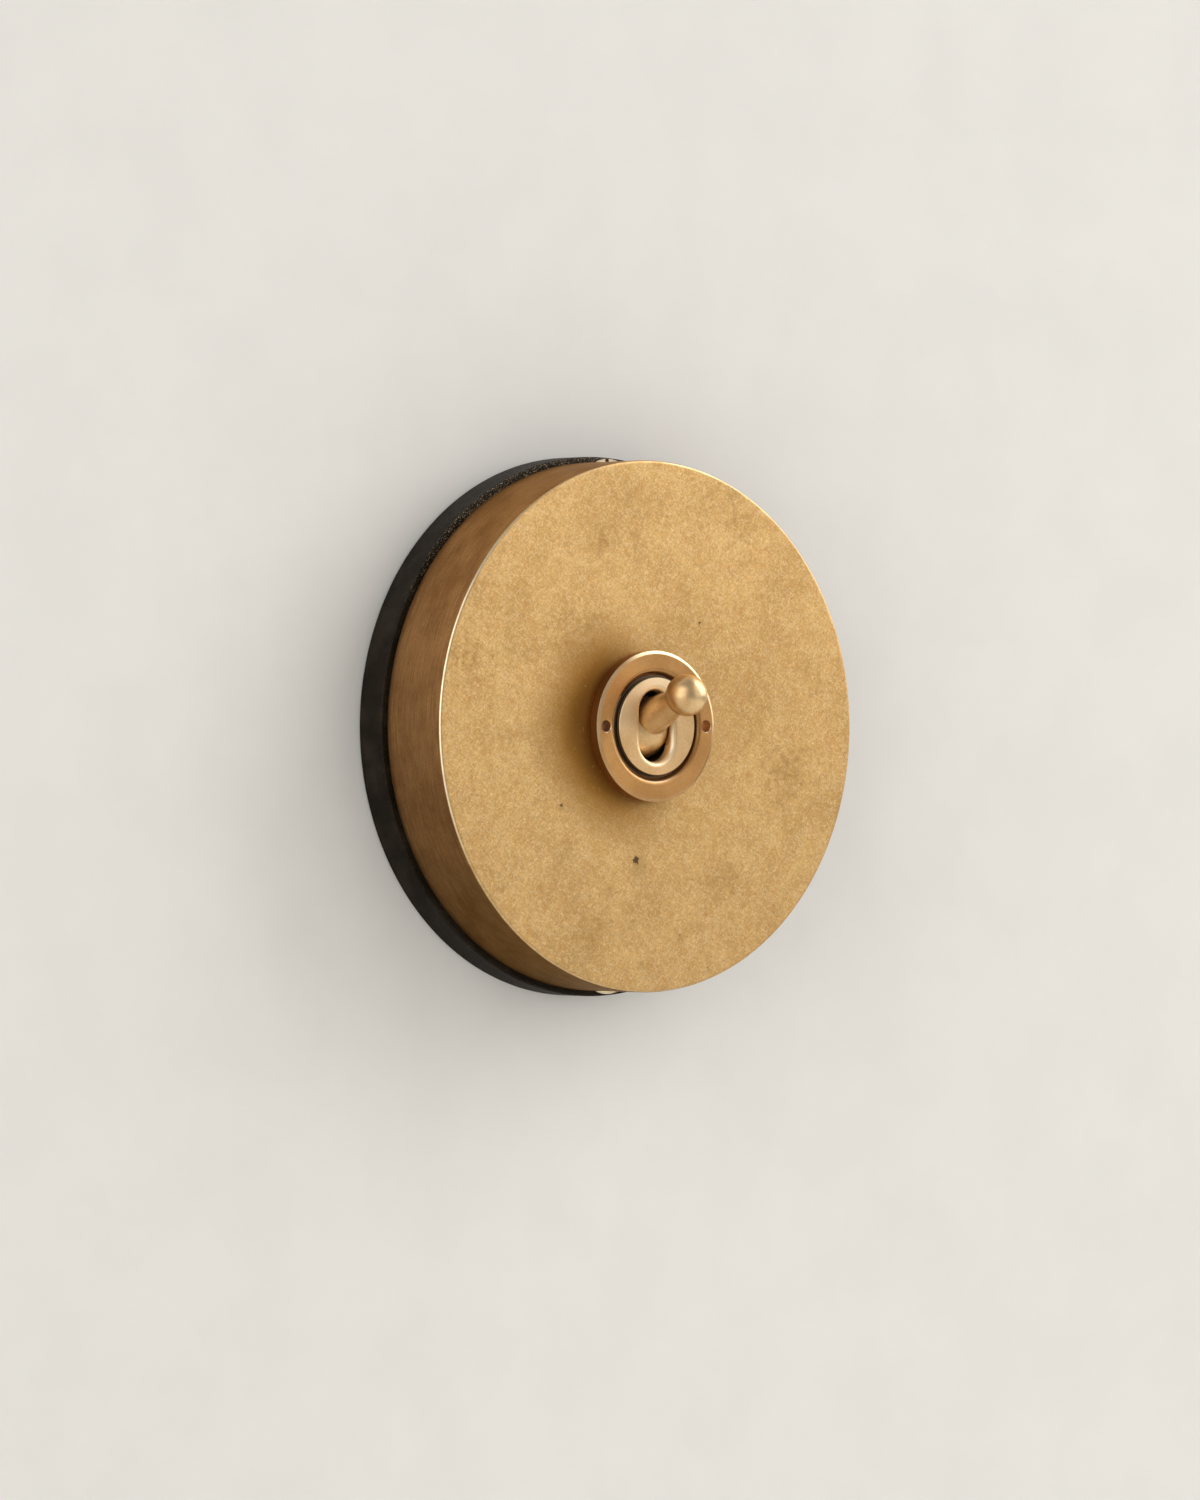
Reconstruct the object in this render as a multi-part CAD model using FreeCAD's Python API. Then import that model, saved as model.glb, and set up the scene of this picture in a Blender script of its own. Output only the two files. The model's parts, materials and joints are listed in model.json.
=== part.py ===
"""Surface-mounted brass dolly switch: a round brass cover on a black base, with a two-way switch inside.

The pieces are drawn as they lie on a bench: the wall is the plane z = 0, +Z comes out of the wall, +Y is
up the wall and +X is to the right. stand_up() then turns each piece to the finished frame, with +Z up, the
wall at y = 0 and the front facing -Y. The origin is the middle of the face that meets the wall. All sizes
are in millimetres.
"""

import FreeCAD
import Part
import math
import os

# Fits
FIT_GAP = 0.05              # beside pieces that slide or screw into one another
POCKET_GAP = 0.1            # round terminals in the moulded body
SPIGOT_GAP = 0.2            # between the base's spigot and the cover's skirt
SLOT_SIDE_GAP = 0.2         # between the dolly and each side of its slot
SLOT_END_GAP = 0.8          # between the dolly and the end of its slot
BALL_GAP = 0.8              # round the dolly's pivot ball

# Cover and base
COVER_DIAMETER = 90.0
COVER_WALL = 1.5
COVER_EDGE_RADIUS = 0.5     # rubbed front edge
COVER_INSIDE_RADIUS = 1.2
BASE_HEIGHT = 6.2           # wall to the ledge that shows round the cover
BASE_OVERHANG = 1.0         # how far the base stands out past the cover
BASE_EDGE_RADIUS = 0.4
BASE_FLOOR = 2.0
SHADOW_GAP = 0.3            # dark line between the cover's rim and the ledge
SEAT_WIDTH = 0.8            # narrow step that the cover's rim stands on
SPIGOT_WALL = 2.0
CABLE_HOLE_DIAMETER = 16.0
WALL_SCREW_SPACING = 60.3   # centres of a standard single wall box
WALL_SCREW_HOLE = 4.4
WALL_SCREW_SINK = 1.0       # depth of the countersink in the floor

# Screws that hold the cover to the base, one at the top and one at the bottom
COVER_SCREW_THREAD = 2.5
COVER_SCREW_HEAD = 4.2
COVER_SCREW_DOME = 0.55
COVER_SCREW_LENGTH = 6.0
COVER_SCREW_INSET = 2.9     # in from the cover's rim
COVER_SCREW_TURNS = (-39.0, -20.0)  # how far each slot is turned, top then bottom
INSERT_DIAMETER = 4.4
INSERT_LENGTH = 4.6
BOSS_DEPTH = 4.6            # in from the spigot
BOSS_SIDE = 2.3             # beside each insert
BOSS_ROOF = 0.6             # over each insert

# Ring nut and the threaded bush that it clamps
RING_DIAMETER = 25.6
RING_HEIGHT = 1.9
RING_BEVEL_WIDTH = 0.55     # across the face
RING_BEVEL_DROP = 0.3       # down the side
RING_INSIDE_RADIUS = 0.9
PIN_HOLE_DIAMETER = 1.95    # for a pin spanner
PIN_HOLE_DEPTH = 1.6
PIN_HOLE_BEVEL = 0.15
THREAD_DIAMETER = 18.0
NOSE_GAP = 0.7              # from the disc at the front of the bush out to the thread
NOSE_PROUD = 0.1            # disc over ring
NOSE_STEP = 0.8             # from the disc down to the start of the thread
NOSE_BEVEL = 0.15
NOSE_THICKNESS = 2.0
SLOT_ROUNDING = 1.0
FLANGE_INSET = 0.5          # in from the sides of the moulded body
FLANGE_THICKNESS = 3.4
WASHER_INSET = 0.5          # in from the flange's rim
WASHER_THICKNESS = 0.6
FLANGE_SCREW_THREAD = 2.5
FLANGE_SCREW_HEAD = 4.0
FLANGE_SCREW_LENGTH = 9.0
FLANGE_SCREW_ANGLES = (45.0, 225.0)

# Dolly
DOLLY_ANGLE = 21.0          # each way from straight out
DOLLY_REACH = 14.5          # pivot to the middle of the knob
KNOB_DIAMETER = 7.1
NECK_DIAMETER = 4.2
SHANK_INSET = 0.05          # shank inside the pivot ball's flats
PIVOT_BALL_DIAMETER = 11.4
PIVOT_BALL_WIDTH = 6.6      # across its flats
PIVOT_PIN_DIAMETER = 2.0
PIVOT_PIN_SHY = 1.5         # each end of the pin stops this far inside the flange
TAIL_DIAMETER = 4.8
TAIL_BEVEL = 0.4
BORE_ROOF = 0.7             # metal between the pivot pin and the plunger's bore

# Plunger and its spring, in the dolly's tail
PLUNGER_DIAMETER = 2.6
PLUNGER_REACH = 1.8         # beyond the tail
PLUNGER_GRIP = 2.2          # inside the tail
PLUNGER_TRAVEL = 0.8
SPRING_WIRE = 0.35
SPRING_TURNS = 3.0

# Rocker, its contacts and the terminals
ROCKER_ANGLE = 8.0          # each way from level
ROCKER_WIDTH = 5.0
ROCKER_END = 0.2            # metal beyond each contact
ROCKER_ARM = 0.9            # thickness of the arms
ROCKER_CREST = 1.6          # metal over the pivot
ROCKER_SHOULDER = 0.7       # land outside each side of the cradle
CRADLE_GAP = 0.12           # between the plunger and the cradle
FULCRUM_RADIUS = 0.6
FULCRUM_LENGTH = 4.0
CONTACT_DIAMETER = 3.0
CONTACT_OFFSET = 6.5        # from the pivot
PAD_THICKNESS = 0.7         # on the rocker
CONTACT_THICKNESS = 0.6     # on the terminals
STRIP_THICKNESS = 0.9
STRIP_WIDTH = 4.0
TERMINAL_SIZE = 6.0
TERMINAL_HEIGHT = 7.0
TERMINAL_WALL = 1.4         # body between a terminal and the outside
WIRE_HOLE = 2.8
WIRE_HOLE_RISE = 2.0        # below the top of the terminal
WIRE_ENTRY = 4.0            # hole in the moulded body
TERMINAL_SCREW_THREAD = 3.0
TERMINAL_SCREW_SLOT = 0.6

# Moulded body
BODY_WIDTH = 28.0
BODY_LENGTH = 36.0
BODY_DEPTH = 11.7
BODY_CORNER = 2.0
BODY_SIDE_GAP = 0.6         # beside the rocker and beyond its ends
BACKPLATE_THICKNESS = 1.2
BACK_GAP = 0.4              # between the switch and the base's floor
BACKPLATE_SCREW_THREAD = 2.2
BACKPLATE_SCREW_HEAD = 3.8
BACKPLATE_SCREW_LENGTH = 7.0
BACKPLATE_SCREW_EDGE = 3.2  # in from the body's sides

# Earth terminal, soldered to the back of the cover
EARTH_PLACE = (-25.0, 12.0)
EARTH_SIZE = 6.5
EARTH_HEIGHT = 6.0
EARTH_SCREW_THREAD = 3.0
EARTH_WIRE_HOLE = 3.0

# Heights above the wall, worked out from the wall outwards
backplate_bottom = BASE_FLOOR + BACK_GAP
body_bottom = backplate_bottom + BACKPLATE_THICKNESS
flange_bottom = body_bottom + BODY_DEPTH
washer_bottom = flange_bottom + FLANGE_THICKNESS
cover_inside = washer_bottom + WASHER_THICKNESS
cover_face = cover_inside + COVER_WALL
ring_face = cover_face + RING_HEIGHT
nose_face = ring_face + NOSE_PROUD
pivot_height = flange_bottom + FLANGE_THICKNESS / 2
rim_height = BASE_HEIGHT + SHADOW_GAP
cover_screw_height = rim_height + COVER_SCREW_INSET
spigot_top = cover_screw_height + INSERT_DIAMETER / 2 + BOSS_ROOF

# Radii that several pieces share
cover_radius = COVER_DIAMETER / 2
skirt_inside = cover_radius - COVER_WALL
spigot_radius = skirt_inside - SPIGOT_GAP
base_radius = cover_radius + BASE_OVERHANG
boss_inside = spigot_radius - SPIGOT_WALL - BOSS_DEPTH
thread_radius = THREAD_DIAMETER / 2
nose_radius = thread_radius - NOSE_GAP
nut_bore = thread_radius + FIT_GAP
flange_radius = BODY_WIDTH / 2 - FLANGE_INSET
washer_radius = flange_radius - WASHER_INSET
flange_screw_radius = (thread_radius + flange_radius) / 2

# Places in the moulded body, and the cable's way in below it
terminal_offset = BODY_LENGTH / 2 - TERMINAL_WALL - TERMINAL_SIZE / 2
common_offset = BODY_WIDTH / 2 - TERMINAL_WALL - TERMINAL_SIZE / 2
cable_hole_drop = (BODY_LENGTH / 2 + boss_inside) / 2

# Contact stack: the strips lie on the backplate, and the rocker's pads just meet the fixed contacts
tilt = math.radians(ROCKER_ANGLE)
throw = math.radians(DOLLY_ANGLE)
strip_top = body_bottom + STRIP_THICKNESS
contact_top = strip_top + CONTACT_THICKNESS
pad_radius = CONTACT_DIAMETER / 2
rocker_reach = CONTACT_OFFSET + pad_radius + ROCKER_END
pad_drop = (CONTACT_OFFSET + pad_radius) * math.sin(tilt) + PAD_THICKNESS * math.cos(tilt)
fulcrum_height = contact_top + FIT_GAP + pad_drop

# The slot clears the dolly's tapered shank at the end of its throw
ball_radius = PIVOT_BALL_DIAMETER / 2
knob_radius = KNOB_DIAMETER / 2
neck_radius = NECK_DIAMETER / 2
shank_radius = PIVOT_BALL_WIDTH / 2 - SHANK_INSET
shank_start = math.sqrt(ball_radius**2 - shank_radius**2)
shank_end = DOLLY_REACH - math.sqrt(knob_radius**2 - neck_radius**2)
taper = (shank_radius - neck_radius) / (shank_end - shank_start)
shank_root = shank_radius + taper * shank_start
slot_rise = nose_face - pivot_height + shank_root * math.sin(throw)
slot_station = slot_rise / (math.cos(throw) + taper * math.sin(throw))
shank_edge = slot_station * math.sin(throw) + (shank_root - taper * slot_station) * math.cos(throw)
slot_length = 2 * (shank_edge + SLOT_END_GAP)
slot_width = PIVOT_BALL_WIDTH + 2 * SLOT_SIDE_GAP
bush_bore = PIVOT_BALL_DIAMETER + 2 * BALL_GAP

# The plunger reaches from the dolly's pivot to the rocker's cradle
plunger_tip = pivot_height - fulcrum_height - ROCKER_CREST - CRADLE_GAP
tip_radius = PLUNGER_DIAMETER / 2
tip_centre = plunger_tip - tip_radius
tail_length = plunger_tip - PLUNGER_REACH
plunger_back = tail_length - PLUNGER_GRIP
bore_end = PIVOT_PIN_DIAMETER / 2 + BORE_ROOF

X = FreeCAD.Vector(1, 0, 0)
Y = FreeCAD.Vector(0, 1, 0)
Z = FreeCAD.Vector(0, 0, 1)
ORIGIN = FreeCAD.Vector(0, 0, 0)
OVERCUT = 1.0               # how far a cutting tool runs past the metal
LEVEL = 0.001               # how nearly two places agree


def vector(x, y, z=0.0):
    """A point or direction in the bench frame."""
    return FreeCAD.Vector(x, y, z)


def rounded_wire(corners, place):
    """A closed wire through corners (a, b) or (a, b, radius); place turns (a, b) into a point in space."""
    points = [FreeCAD.Vector(c[0], c[1], 0) for c in corners]
    runs = []
    for i, corner in enumerate(corners):
        here = points[i]
        radius = corner[2] if len(corner) > 2 else 0.0
        if radius == 0.0:
            runs.append((here, None, here))
            continue
        back = (points[i - 1] - here).normalize()
        ahead = (points[(i + 1) % len(points)] - here).normalize()
        half = back.getAngle(ahead) / 2
        middle = (back + ahead).normalize()
        reach = radius / math.tan(half)
        crown = here + middle * (radius / math.sin(half) - radius)
        runs.append((here + back * reach, crown, here + ahead * reach))
    edges = []
    for i, (start, crown, end) in enumerate(runs):
        if crown is not None:
            edges.append(Part.Arc(place(start), place(crown), place(end)).toShape())
        following = runs[(i + 1) % len(runs)][0]
        edges.append(Part.LineSegment(place(end), place(following)).toShape())
    return Part.Wire(edges)


def turned(corners):
    """A solid turned about Z from corners (radius, height) or (radius, height, rounding)."""
    wire = rounded_wire(corners, lambda p: vector(p.x, 0, p.y))
    return Part.Face(wire).revolve(ORIGIN, Z, 360)


def slab(corners, bottom, top):
    """A flat plate with rounded corners (x, y, radius), from one height to another."""
    wire = rounded_wire(corners, lambda p: vector(p.x, p.y, bottom))
    return Part.Face(wire).extrude(vector(0, 0, top - bottom))


def block(x_range, y_range, z_range):
    """A box between two places on each axis."""
    size = [high - low for low, high in (x_range, y_range, z_range)]
    return Part.makeBox(*size, vector(x_range[0], y_range[0], z_range[0]))


def around(middle, width):
    """The two ends of a width about its middle."""
    return (middle - width / 2, middle + width / 2)


def rod(diameter, start, end):
    """A round rod from one point to another."""
    along = end - start
    return Part.makeCylinder(diameter / 2, along.Length, start, along)


def obround(width, length, bottom, top):
    """An upright slot shape: straight sides and round ends."""
    half = width / 2
    straight = length / 2 - half
    sides = block((-half, half), (-straight, straight), (bottom, top))
    ends = [rod(width, vector(0, y, bottom), vector(0, y, top)) for y in (-straight, straight)]
    return sides.fuse(ends).removeSplitter()


def rounded_mouth(shape, height, radius):
    """Rounds every edge at a height that does not run round the axis."""
    mouth = []
    for edge in shape.Edges:
        box = edge.BoundBox
        level = max(abs(box.ZMin - height), abs(box.ZMax - height)) < LEVEL
        round_axis = isinstance(edge.Curve, Part.Circle) and abs(edge.Curve.Center.y) < LEVEL
        if level and not round_axis:
            mouth.append(edge)
    return shape.makeFillet(radius, mouth)


def screw(thread, head, length, dome=0.0, slot=0.6, slot_depth=0.7):
    """A slotted countersunk screw along Z, its head's rim at z = 0 and its dome, if any, above that."""
    sink = (head - thread) / 2
    shank = thread / 2
    body = turned([(0, 0), (head / 2, 0), (shank, -sink), (shank, -length), (0, -length)])
    if dome:
        ball = ((head / 2) ** 2 + dome**2) / (2 * dome)
        cap = Part.makeSphere(ball, vector(0, 0, dome - ball))
        cap = cap.common(Part.makeCylinder(head, dome, ORIGIN))
        body = body.fuse(cap).removeSplitter()
    groove = block(around(0, slot), around(0, head + OVERCUT), (dome - slot_depth, dome + OVERCUT))
    return body.cut(groove)


def countersink(thread, head, depth):
    """The hole that such a screw sits in, along Z with its mouth at z = 0."""
    sink = (head - thread) / 2
    cone = Part.makeCone(thread / 2, head / 2, sink, vector(0, 0, -sink))
    mouth = Part.makeCylinder(head / 2, OVERCUT, ORIGIN)
    return cone.fuse([mouth, Part.makeCylinder(thread / 2, depth, vector(0, 0, -depth))])


def moved(shape, x=0.0, y=0.0, z=0.0):
    """A copy of a shape, shifted."""
    copy = shape.copy()
    copy.translate(vector(x, y, z))
    return copy


def rotated(shape, axis, degrees, centre=ORIGIN):
    """A copy of a shape, turned about an axis through a point."""
    copy = shape.copy()
    copy.rotate(centre, axis, degrees)
    return copy


def cover_screw_spots():
    """For the top and the bottom screw: its turn round the cover, and the turn of its slot."""
    return zip((0.0, 180.0), COVER_SCREW_TURNS)


def on_skirt(shape, spin):
    """Takes a shape drawn along Z to the skirt, pointing up the wall, then spins it round the cover."""
    upright = moved(rotated(shape, X, -90), y=cover_radius, z=cover_screw_height)
    return rotated(upright, Z, spin)


def flange_screw_spots():
    """Where the screws stand that hold the bush to the moulded body."""
    for angle in FLANGE_SCREW_ANGLES:
        a = math.radians(angle)
        yield flange_screw_radius * math.cos(a), flange_screw_radius * math.sin(a)


def backplate_screw_spots():
    """The two body corners, left high and right low, that hold the backplate's screws."""
    x = BODY_WIDTH / 2 - BACKPLATE_SCREW_EDGE
    y = BODY_LENGTH / 2 - BACKPLATE_SCREW_EDGE
    return [(-x, y), (x, -y)]


def terminal_screw_spots():
    """The middles of the upper, lower and side terminals."""
    return [(0, terminal_offset), (0, -terminal_offset), (common_offset, 0)]


def base():
    """Black base: a floor against the wall, a rim that shows, and a spigot that the cover slips over."""
    inside = spigot_radius - SPIGOT_WALL
    seat = skirt_inside + SEAT_WIDTH
    shape = turned([
        (0, 0), (base_radius, 0, BASE_EDGE_RADIUS), (base_radius, BASE_HEIGHT, BASE_EDGE_RADIUS),
        (seat, BASE_HEIGHT), (seat, rim_height), (spigot_radius, rim_height),
        (spigot_radius, spigot_top), (inside, spigot_top), (inside, BASE_FLOOR), (0, BASE_FLOOR),
    ])
    boss_width = INSERT_DIAMETER + 2 * BOSS_SIDE
    boss = block(around(0, boss_width), (boss_inside, spigot_radius), (0, spigot_top))
    boss = boss.common(Part.makeCylinder(spigot_radius, spigot_top))
    seat_hole = Part.makeCylinder(INSERT_DIAMETER / 2, INSERT_LENGTH, vector(0, 0, -INSERT_LENGTH))
    seat_hole = seat_hole.fuse(Part.makeCylinder(INSERT_DIAMETER / 2, OVERCUT, ORIGIN))
    tip_hole = rod(COVER_SCREW_THREAD, ORIGIN, vector(0, 0, -COVER_SCREW_LENGTH))
    inward = skirt_inside - cover_radius
    for spin, _ in cover_screw_spots():
        shape = shape.fuse(rotated(boss, Z, spin))
    shape = shape.removeSplitter()
    for spin, _ in cover_screw_spots():
        shape = shape.cut(on_skirt(moved(seat_hole, z=inward - SPIGOT_GAP), spin))
        shape = shape.cut(on_skirt(tip_hole, spin))
    shape = shape.cut(rod(CABLE_HOLE_DIAMETER, vector(0, -cable_hole_drop, -OVERCUT),
                          vector(0, -cable_hole_drop, BASE_FLOOR + OVERCUT)))
    hole = countersink(WALL_SCREW_HOLE, WALL_SCREW_HOLE + 2 * WALL_SCREW_SINK, BASE_FLOOR + OVERCUT)
    for x in around(0, WALL_SCREW_SPACING):
        shape = shape.cut(moved(hole, x=x, z=BASE_FLOOR))
    return shape


def screw_inserts():
    """Threaded brass sleeves in the base's bosses, for the cover's screws."""
    outer = Part.makeCylinder(INSERT_DIAMETER / 2, INSERT_LENGTH, vector(0, 0, -INSERT_LENGTH))
    sleeve = outer.cut(rod(COVER_SCREW_THREAD, vector(0, 0, OVERCUT),
                           vector(0, 0, -INSERT_LENGTH - OVERCUT)))
    inward = spigot_radius - cover_radius
    return Part.makeCompound([on_skirt(moved(sleeve, z=inward), spin) for spin, _ in cover_screw_spots()])


def cover():
    """Brass cover: a flat round face with a straight skirt, open to the wall."""
    shape = turned([
        (nut_bore, cover_face), (cover_radius, cover_face, COVER_EDGE_RADIUS),
        (cover_radius, rim_height), (skirt_inside, rim_height),
        (skirt_inside, cover_inside, COVER_INSIDE_RADIUS), (nut_bore, cover_inside),
    ])
    hole = countersink(COVER_SCREW_THREAD, COVER_SCREW_HEAD, COVER_WALL + OVERCUT)
    for spin, _ in cover_screw_spots():
        shape = shape.cut(on_skirt(hole, spin))
    return shape


def cover_screws():
    """Slotted round-topped screws through the skirt, top and bottom."""
    one = screw(COVER_SCREW_THREAD, COVER_SCREW_HEAD, COVER_SCREW_LENGTH, COVER_SCREW_DOME)
    return Part.makeCompound([on_skirt(rotated(one, Z, turn), spin) for spin, turn in cover_screw_spots()])


def ring_nut():
    """Round brass nut on the bush, with a bevelled rim, a softened inner edge and two spanner holes."""
    outer = RING_DIAMETER / 2
    shape = turned([
        (nut_bore, cover_face), (outer, cover_face), (outer, ring_face - RING_BEVEL_DROP),
        (outer - RING_BEVEL_WIDTH, ring_face), (nut_bore, ring_face, RING_INSIDE_RADIUS),
    ])
    pin_hole = countersink(PIN_HOLE_DIAMETER, PIN_HOLE_DIAMETER + 2 * PIN_HOLE_BEVEL, PIN_HOLE_DEPTH)
    pitch = (outer + nut_bore) / 2
    for x in (-pitch, pitch):
        shape = shape.cut(moved(pin_hole, x=x, z=ring_face))
    return shape


def bush():
    """Brass bush: a slotted disc at the front, a thread for the ring nut and a flange behind the cover."""
    step = nose_face - NOSE_STEP
    lead = NOSE_GAP / 2
    shape = turned([
        (0, flange_bottom), (flange_radius, flange_bottom), (flange_radius, washer_bottom),
        (thread_radius, washer_bottom), (thread_radius, step - lead), (thread_radius - lead, step),
        (nose_radius, step), (nose_radius, nose_face - NOSE_BEVEL), (nose_radius - NOSE_BEVEL, nose_face),
        (0, nose_face),
    ])
    under = nose_face - NOSE_THICKNESS
    shape = shape.cut(rod(bush_bore, vector(0, 0, flange_bottom - OVERCUT), vector(0, 0, under)))
    shape = shape.cut(obround(slot_width, slot_length, under - OVERCUT, nose_face + OVERCUT))
    shape = rounded_mouth(shape, nose_face, SLOT_ROUNDING)
    shape = shape.cut(rod(PIVOT_PIN_DIAMETER, vector(-flange_radius - OVERCUT, 0, pivot_height),
                          vector(flange_radius + OVERCUT, 0, pivot_height)))
    hole = countersink(FLANGE_SCREW_THREAD, FLANGE_SCREW_HEAD, FLANGE_THICKNESS + OVERCUT)
    for x, y in flange_screw_spots():
        shape = shape.cut(moved(hole, x, y, washer_bottom))
    return shape


def clamp_washer():
    """Fibre washer between the flange and the back of the cover."""
    return turned([
        (nut_bore, washer_bottom), (washer_radius, washer_bottom),
        (washer_radius, cover_inside), (nut_bore, cover_inside),
    ])


def flange_screws():
    """Countersunk screws from the flange into the moulded body."""
    one = screw(FLANGE_SCREW_THREAD, FLANGE_SCREW_HEAD, FLANGE_SCREW_LENGTH)
    return Part.makeCompound([moved(one, x, y, washer_bottom) for x, y in flange_screw_spots()])


def pivot_pin():
    """Steel pin across the bush that the dolly turns on."""
    half = flange_radius - PIVOT_PIN_SHY
    return rod(PIVOT_PIN_DIAMETER, vector(-half, 0, pivot_height), vector(half, 0, pivot_height))


def tipped_up(shape):
    """Takes a piece drawn straight along Z from the dolly's pivot to where it lies with the dolly up."""
    return rotated(moved(shape, z=pivot_height), X, -DOLLY_ANGLE, vector(0, 0, pivot_height))


def dolly():
    """Turned brass dolly: round knob, tapered shank, flat-sided pivot ball and a hollow tail."""
    ball = ball_radius
    tail = TAIL_DIAMETER / 2
    tail_top = vector(tail, 0, -math.sqrt(ball**2 - tail**2))
    shank_foot = vector(shank_radius, 0, shank_start)
    neck = vector(neck_radius, 0, shank_end)
    tail_end = vector(tail - TAIL_BEVEL, 0, -tail_length)
    tail_edge = vector(tail, 0, TAIL_BEVEL - tail_length)
    foot = vector(0, 0, -tail_length)
    crown = vector(0, 0, DOLLY_REACH + knob_radius)
    edges = [
        Part.LineSegment(foot, tail_end), Part.LineSegment(tail_end, tail_edge),
        Part.LineSegment(tail_edge, tail_top), Part.Arc(tail_top, vector(ball, 0, 0), shank_foot),
        Part.LineSegment(shank_foot, neck), Part.Arc(neck, vector(knob_radius, 0, DOLLY_REACH), crown),
        Part.LineSegment(crown, foot),
    ]
    shape = Part.Face(Part.Wire([edge.toShape() for edge in edges])).revolve(ORIGIN, Z, 360)
    for side in (-1, 1):
        across = around(side * ball, 2 * ball - PIVOT_BALL_WIDTH)
        shape = shape.cut(block(across, around(0, 2 * ball), around(0, 2 * ball)))
    shape = shape.cut(rod(PIVOT_PIN_DIAMETER + 2 * FIT_GAP, vector(-ball, 0, 0), vector(ball, 0, 0)))
    shape = shape.cut(rod(PLUNGER_DIAMETER + 2 * FIT_GAP, vector(0, 0, -bore_end),
                          vector(0, 0, -tail_length - OVERCUT)))
    return tipped_up(shape)


def plunger():
    """Nylon plunger with a round tip that rides in the rocker's cradle."""
    shaft = rod(PLUNGER_DIAMETER, vector(0, 0, -plunger_back), vector(0, 0, -tip_centre))
    tip = Part.makeSphere(tip_radius, vector(0, 0, -tip_centre))
    return tipped_up(shaft.fuse(tip).removeSplitter())


def plunger_spring():
    """Compression spring between the end of the dolly's bore and the plunger."""
    length = plunger_back - bore_end - SPRING_WIRE
    coil_radius = tip_radius - SPRING_WIRE / 2 - FIT_GAP
    path = Part.makeHelix(length / SPRING_TURNS, length, coil_radius)
    rise = length / SPRING_TURNS / (2 * math.pi)
    section = Part.Circle(vector(coil_radius, 0, 0), vector(0, coil_radius, rise), SPRING_WIRE / 2)
    coil = Part.Wire(path).makePipeShell([Part.Wire(section.toShape())], True, True)
    return tipped_up(moved(coil, z=-plunger_back + SPRING_WIRE / 2))


def in_rocker(y, z):
    """A point of the bench frame, with the dolly up, as it lies in the level rocker's own frame."""
    up = z - fulcrum_height
    return y * math.cos(tilt) + up * math.sin(tilt), up * math.cos(tilt) - y * math.sin(tilt)


def tipped_down(shape):
    """Takes a piece from the level rocker to where it lies with the dolly up, lower end pressed back."""
    return rotated(moved(shape, z=fulcrum_height), X, ROCKER_ANGLE, vector(0, 0, fulcrum_height))


def rocker():
    """Brass rocker: a cradle for the plunger over its pivot, and an arm each way for a contact."""
    tip_y = -tip_centre * math.sin(throw)
    tip_z = pivot_height - tip_centre * math.cos(throw)
    side, rise = in_rocker(tip_y, tip_z)
    level_rise = pivot_height - tip_centre - fulcrum_height
    # the cradle is an arc through the plunger's middle position and both its ends
    sag = rise - level_rise
    path_radius = (side**2 + sag**2) / (2 * sag)
    cradle_radius = path_radius + tip_radius + CRADLE_GAP
    cradle_centre = level_rise + path_radius
    lean = math.asin(-side / path_radius)
    edge_y = cradle_radius * math.sin(lean)
    edge_z = cradle_centre - cradle_radius * math.cos(lean)
    outer_y = edge_y + ROCKER_SHOULDER
    section = [
        (-rocker_reach, 0), (rocker_reach, 0), (rocker_reach, ROCKER_ARM), (outer_y, ROCKER_ARM),
        (outer_y, edge_z), (-outer_y, edge_z), (-outer_y, ROCKER_ARM), (-rocker_reach, ROCKER_ARM),
    ]
    half = ROCKER_WIDTH / 2
    wire = rounded_wire(section, lambda p: vector(-half, p.x, p.y))
    shape = Part.Face(wire).extrude(vector(ROCKER_WIDTH, 0, 0))
    shape = shape.cut(rod(2 * cradle_radius, vector(-half - OVERCUT, 0, cradle_centre),
                          vector(half + OVERCUT, 0, cradle_centre)))
    shape = shape.cut(rod(2 * (FULCRUM_RADIUS + FIT_GAP), vector(-half - OVERCUT, 0, 0),
                          vector(half + OVERCUT, 0, 0)))
    return tipped_down(shape)


def rocker_contacts():
    """Silver pads under the ends of the rocker."""
    return tipped_down(Part.makeCompound([
        Part.makeCylinder(pad_radius, PAD_THICKNESS, vector(0, y, -PAD_THICKNESS))
        for y in around(0, 2 * CONTACT_OFFSET)
    ]))


def fixed_contacts():
    """Silver pads on the upper and lower terminals."""
    return Part.makeCompound([
        Part.makeCylinder(pad_radius, CONTACT_THICKNESS, vector(0, y, strip_top))
        for y in around(0, 2 * CONTACT_OFFSET)
    ])


def terminal_block(x, y, wire_direction):
    """A brass terminal with a hole for the wire and a tapped hole for its screw, from the backplate up."""
    top = body_bottom + TERMINAL_HEIGHT
    wire_height = top - WIRE_HOLE_RISE
    shape = block(around(x, TERMINAL_SIZE), around(y, TERMINAL_SIZE), (body_bottom, top))
    reach = wire_direction * (TERMINAL_SIZE / 2 + OVERCUT)
    middle = vector(x, y, wire_height)
    shape = shape.cut(rod(WIRE_HOLE, middle - reach, middle + reach))
    return shape.cut(rod(TERMINAL_SCREW_THREAD, vector(x, y, body_bottom - OVERCUT), middle))


def end_terminal(side):
    """The upper (side 1) or lower (side -1) terminal, with a strip that reaches under the rocker's end."""
    shape = terminal_block(0, side * terminal_offset, Y)
    ends = sorted((side * (CONTACT_OFFSET - pad_radius), side * terminal_offset))
    strip = block(around(0, STRIP_WIDTH), ends, (body_bottom, strip_top))
    screw_hole = rod(TERMINAL_SCREW_THREAD, vector(0, side * terminal_offset, body_bottom - OVERCUT),
                     vector(0, side * terminal_offset, strip_top + OVERCUT))
    return shape.fuse(strip.cut(screw_hole)).removeSplitter()


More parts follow.
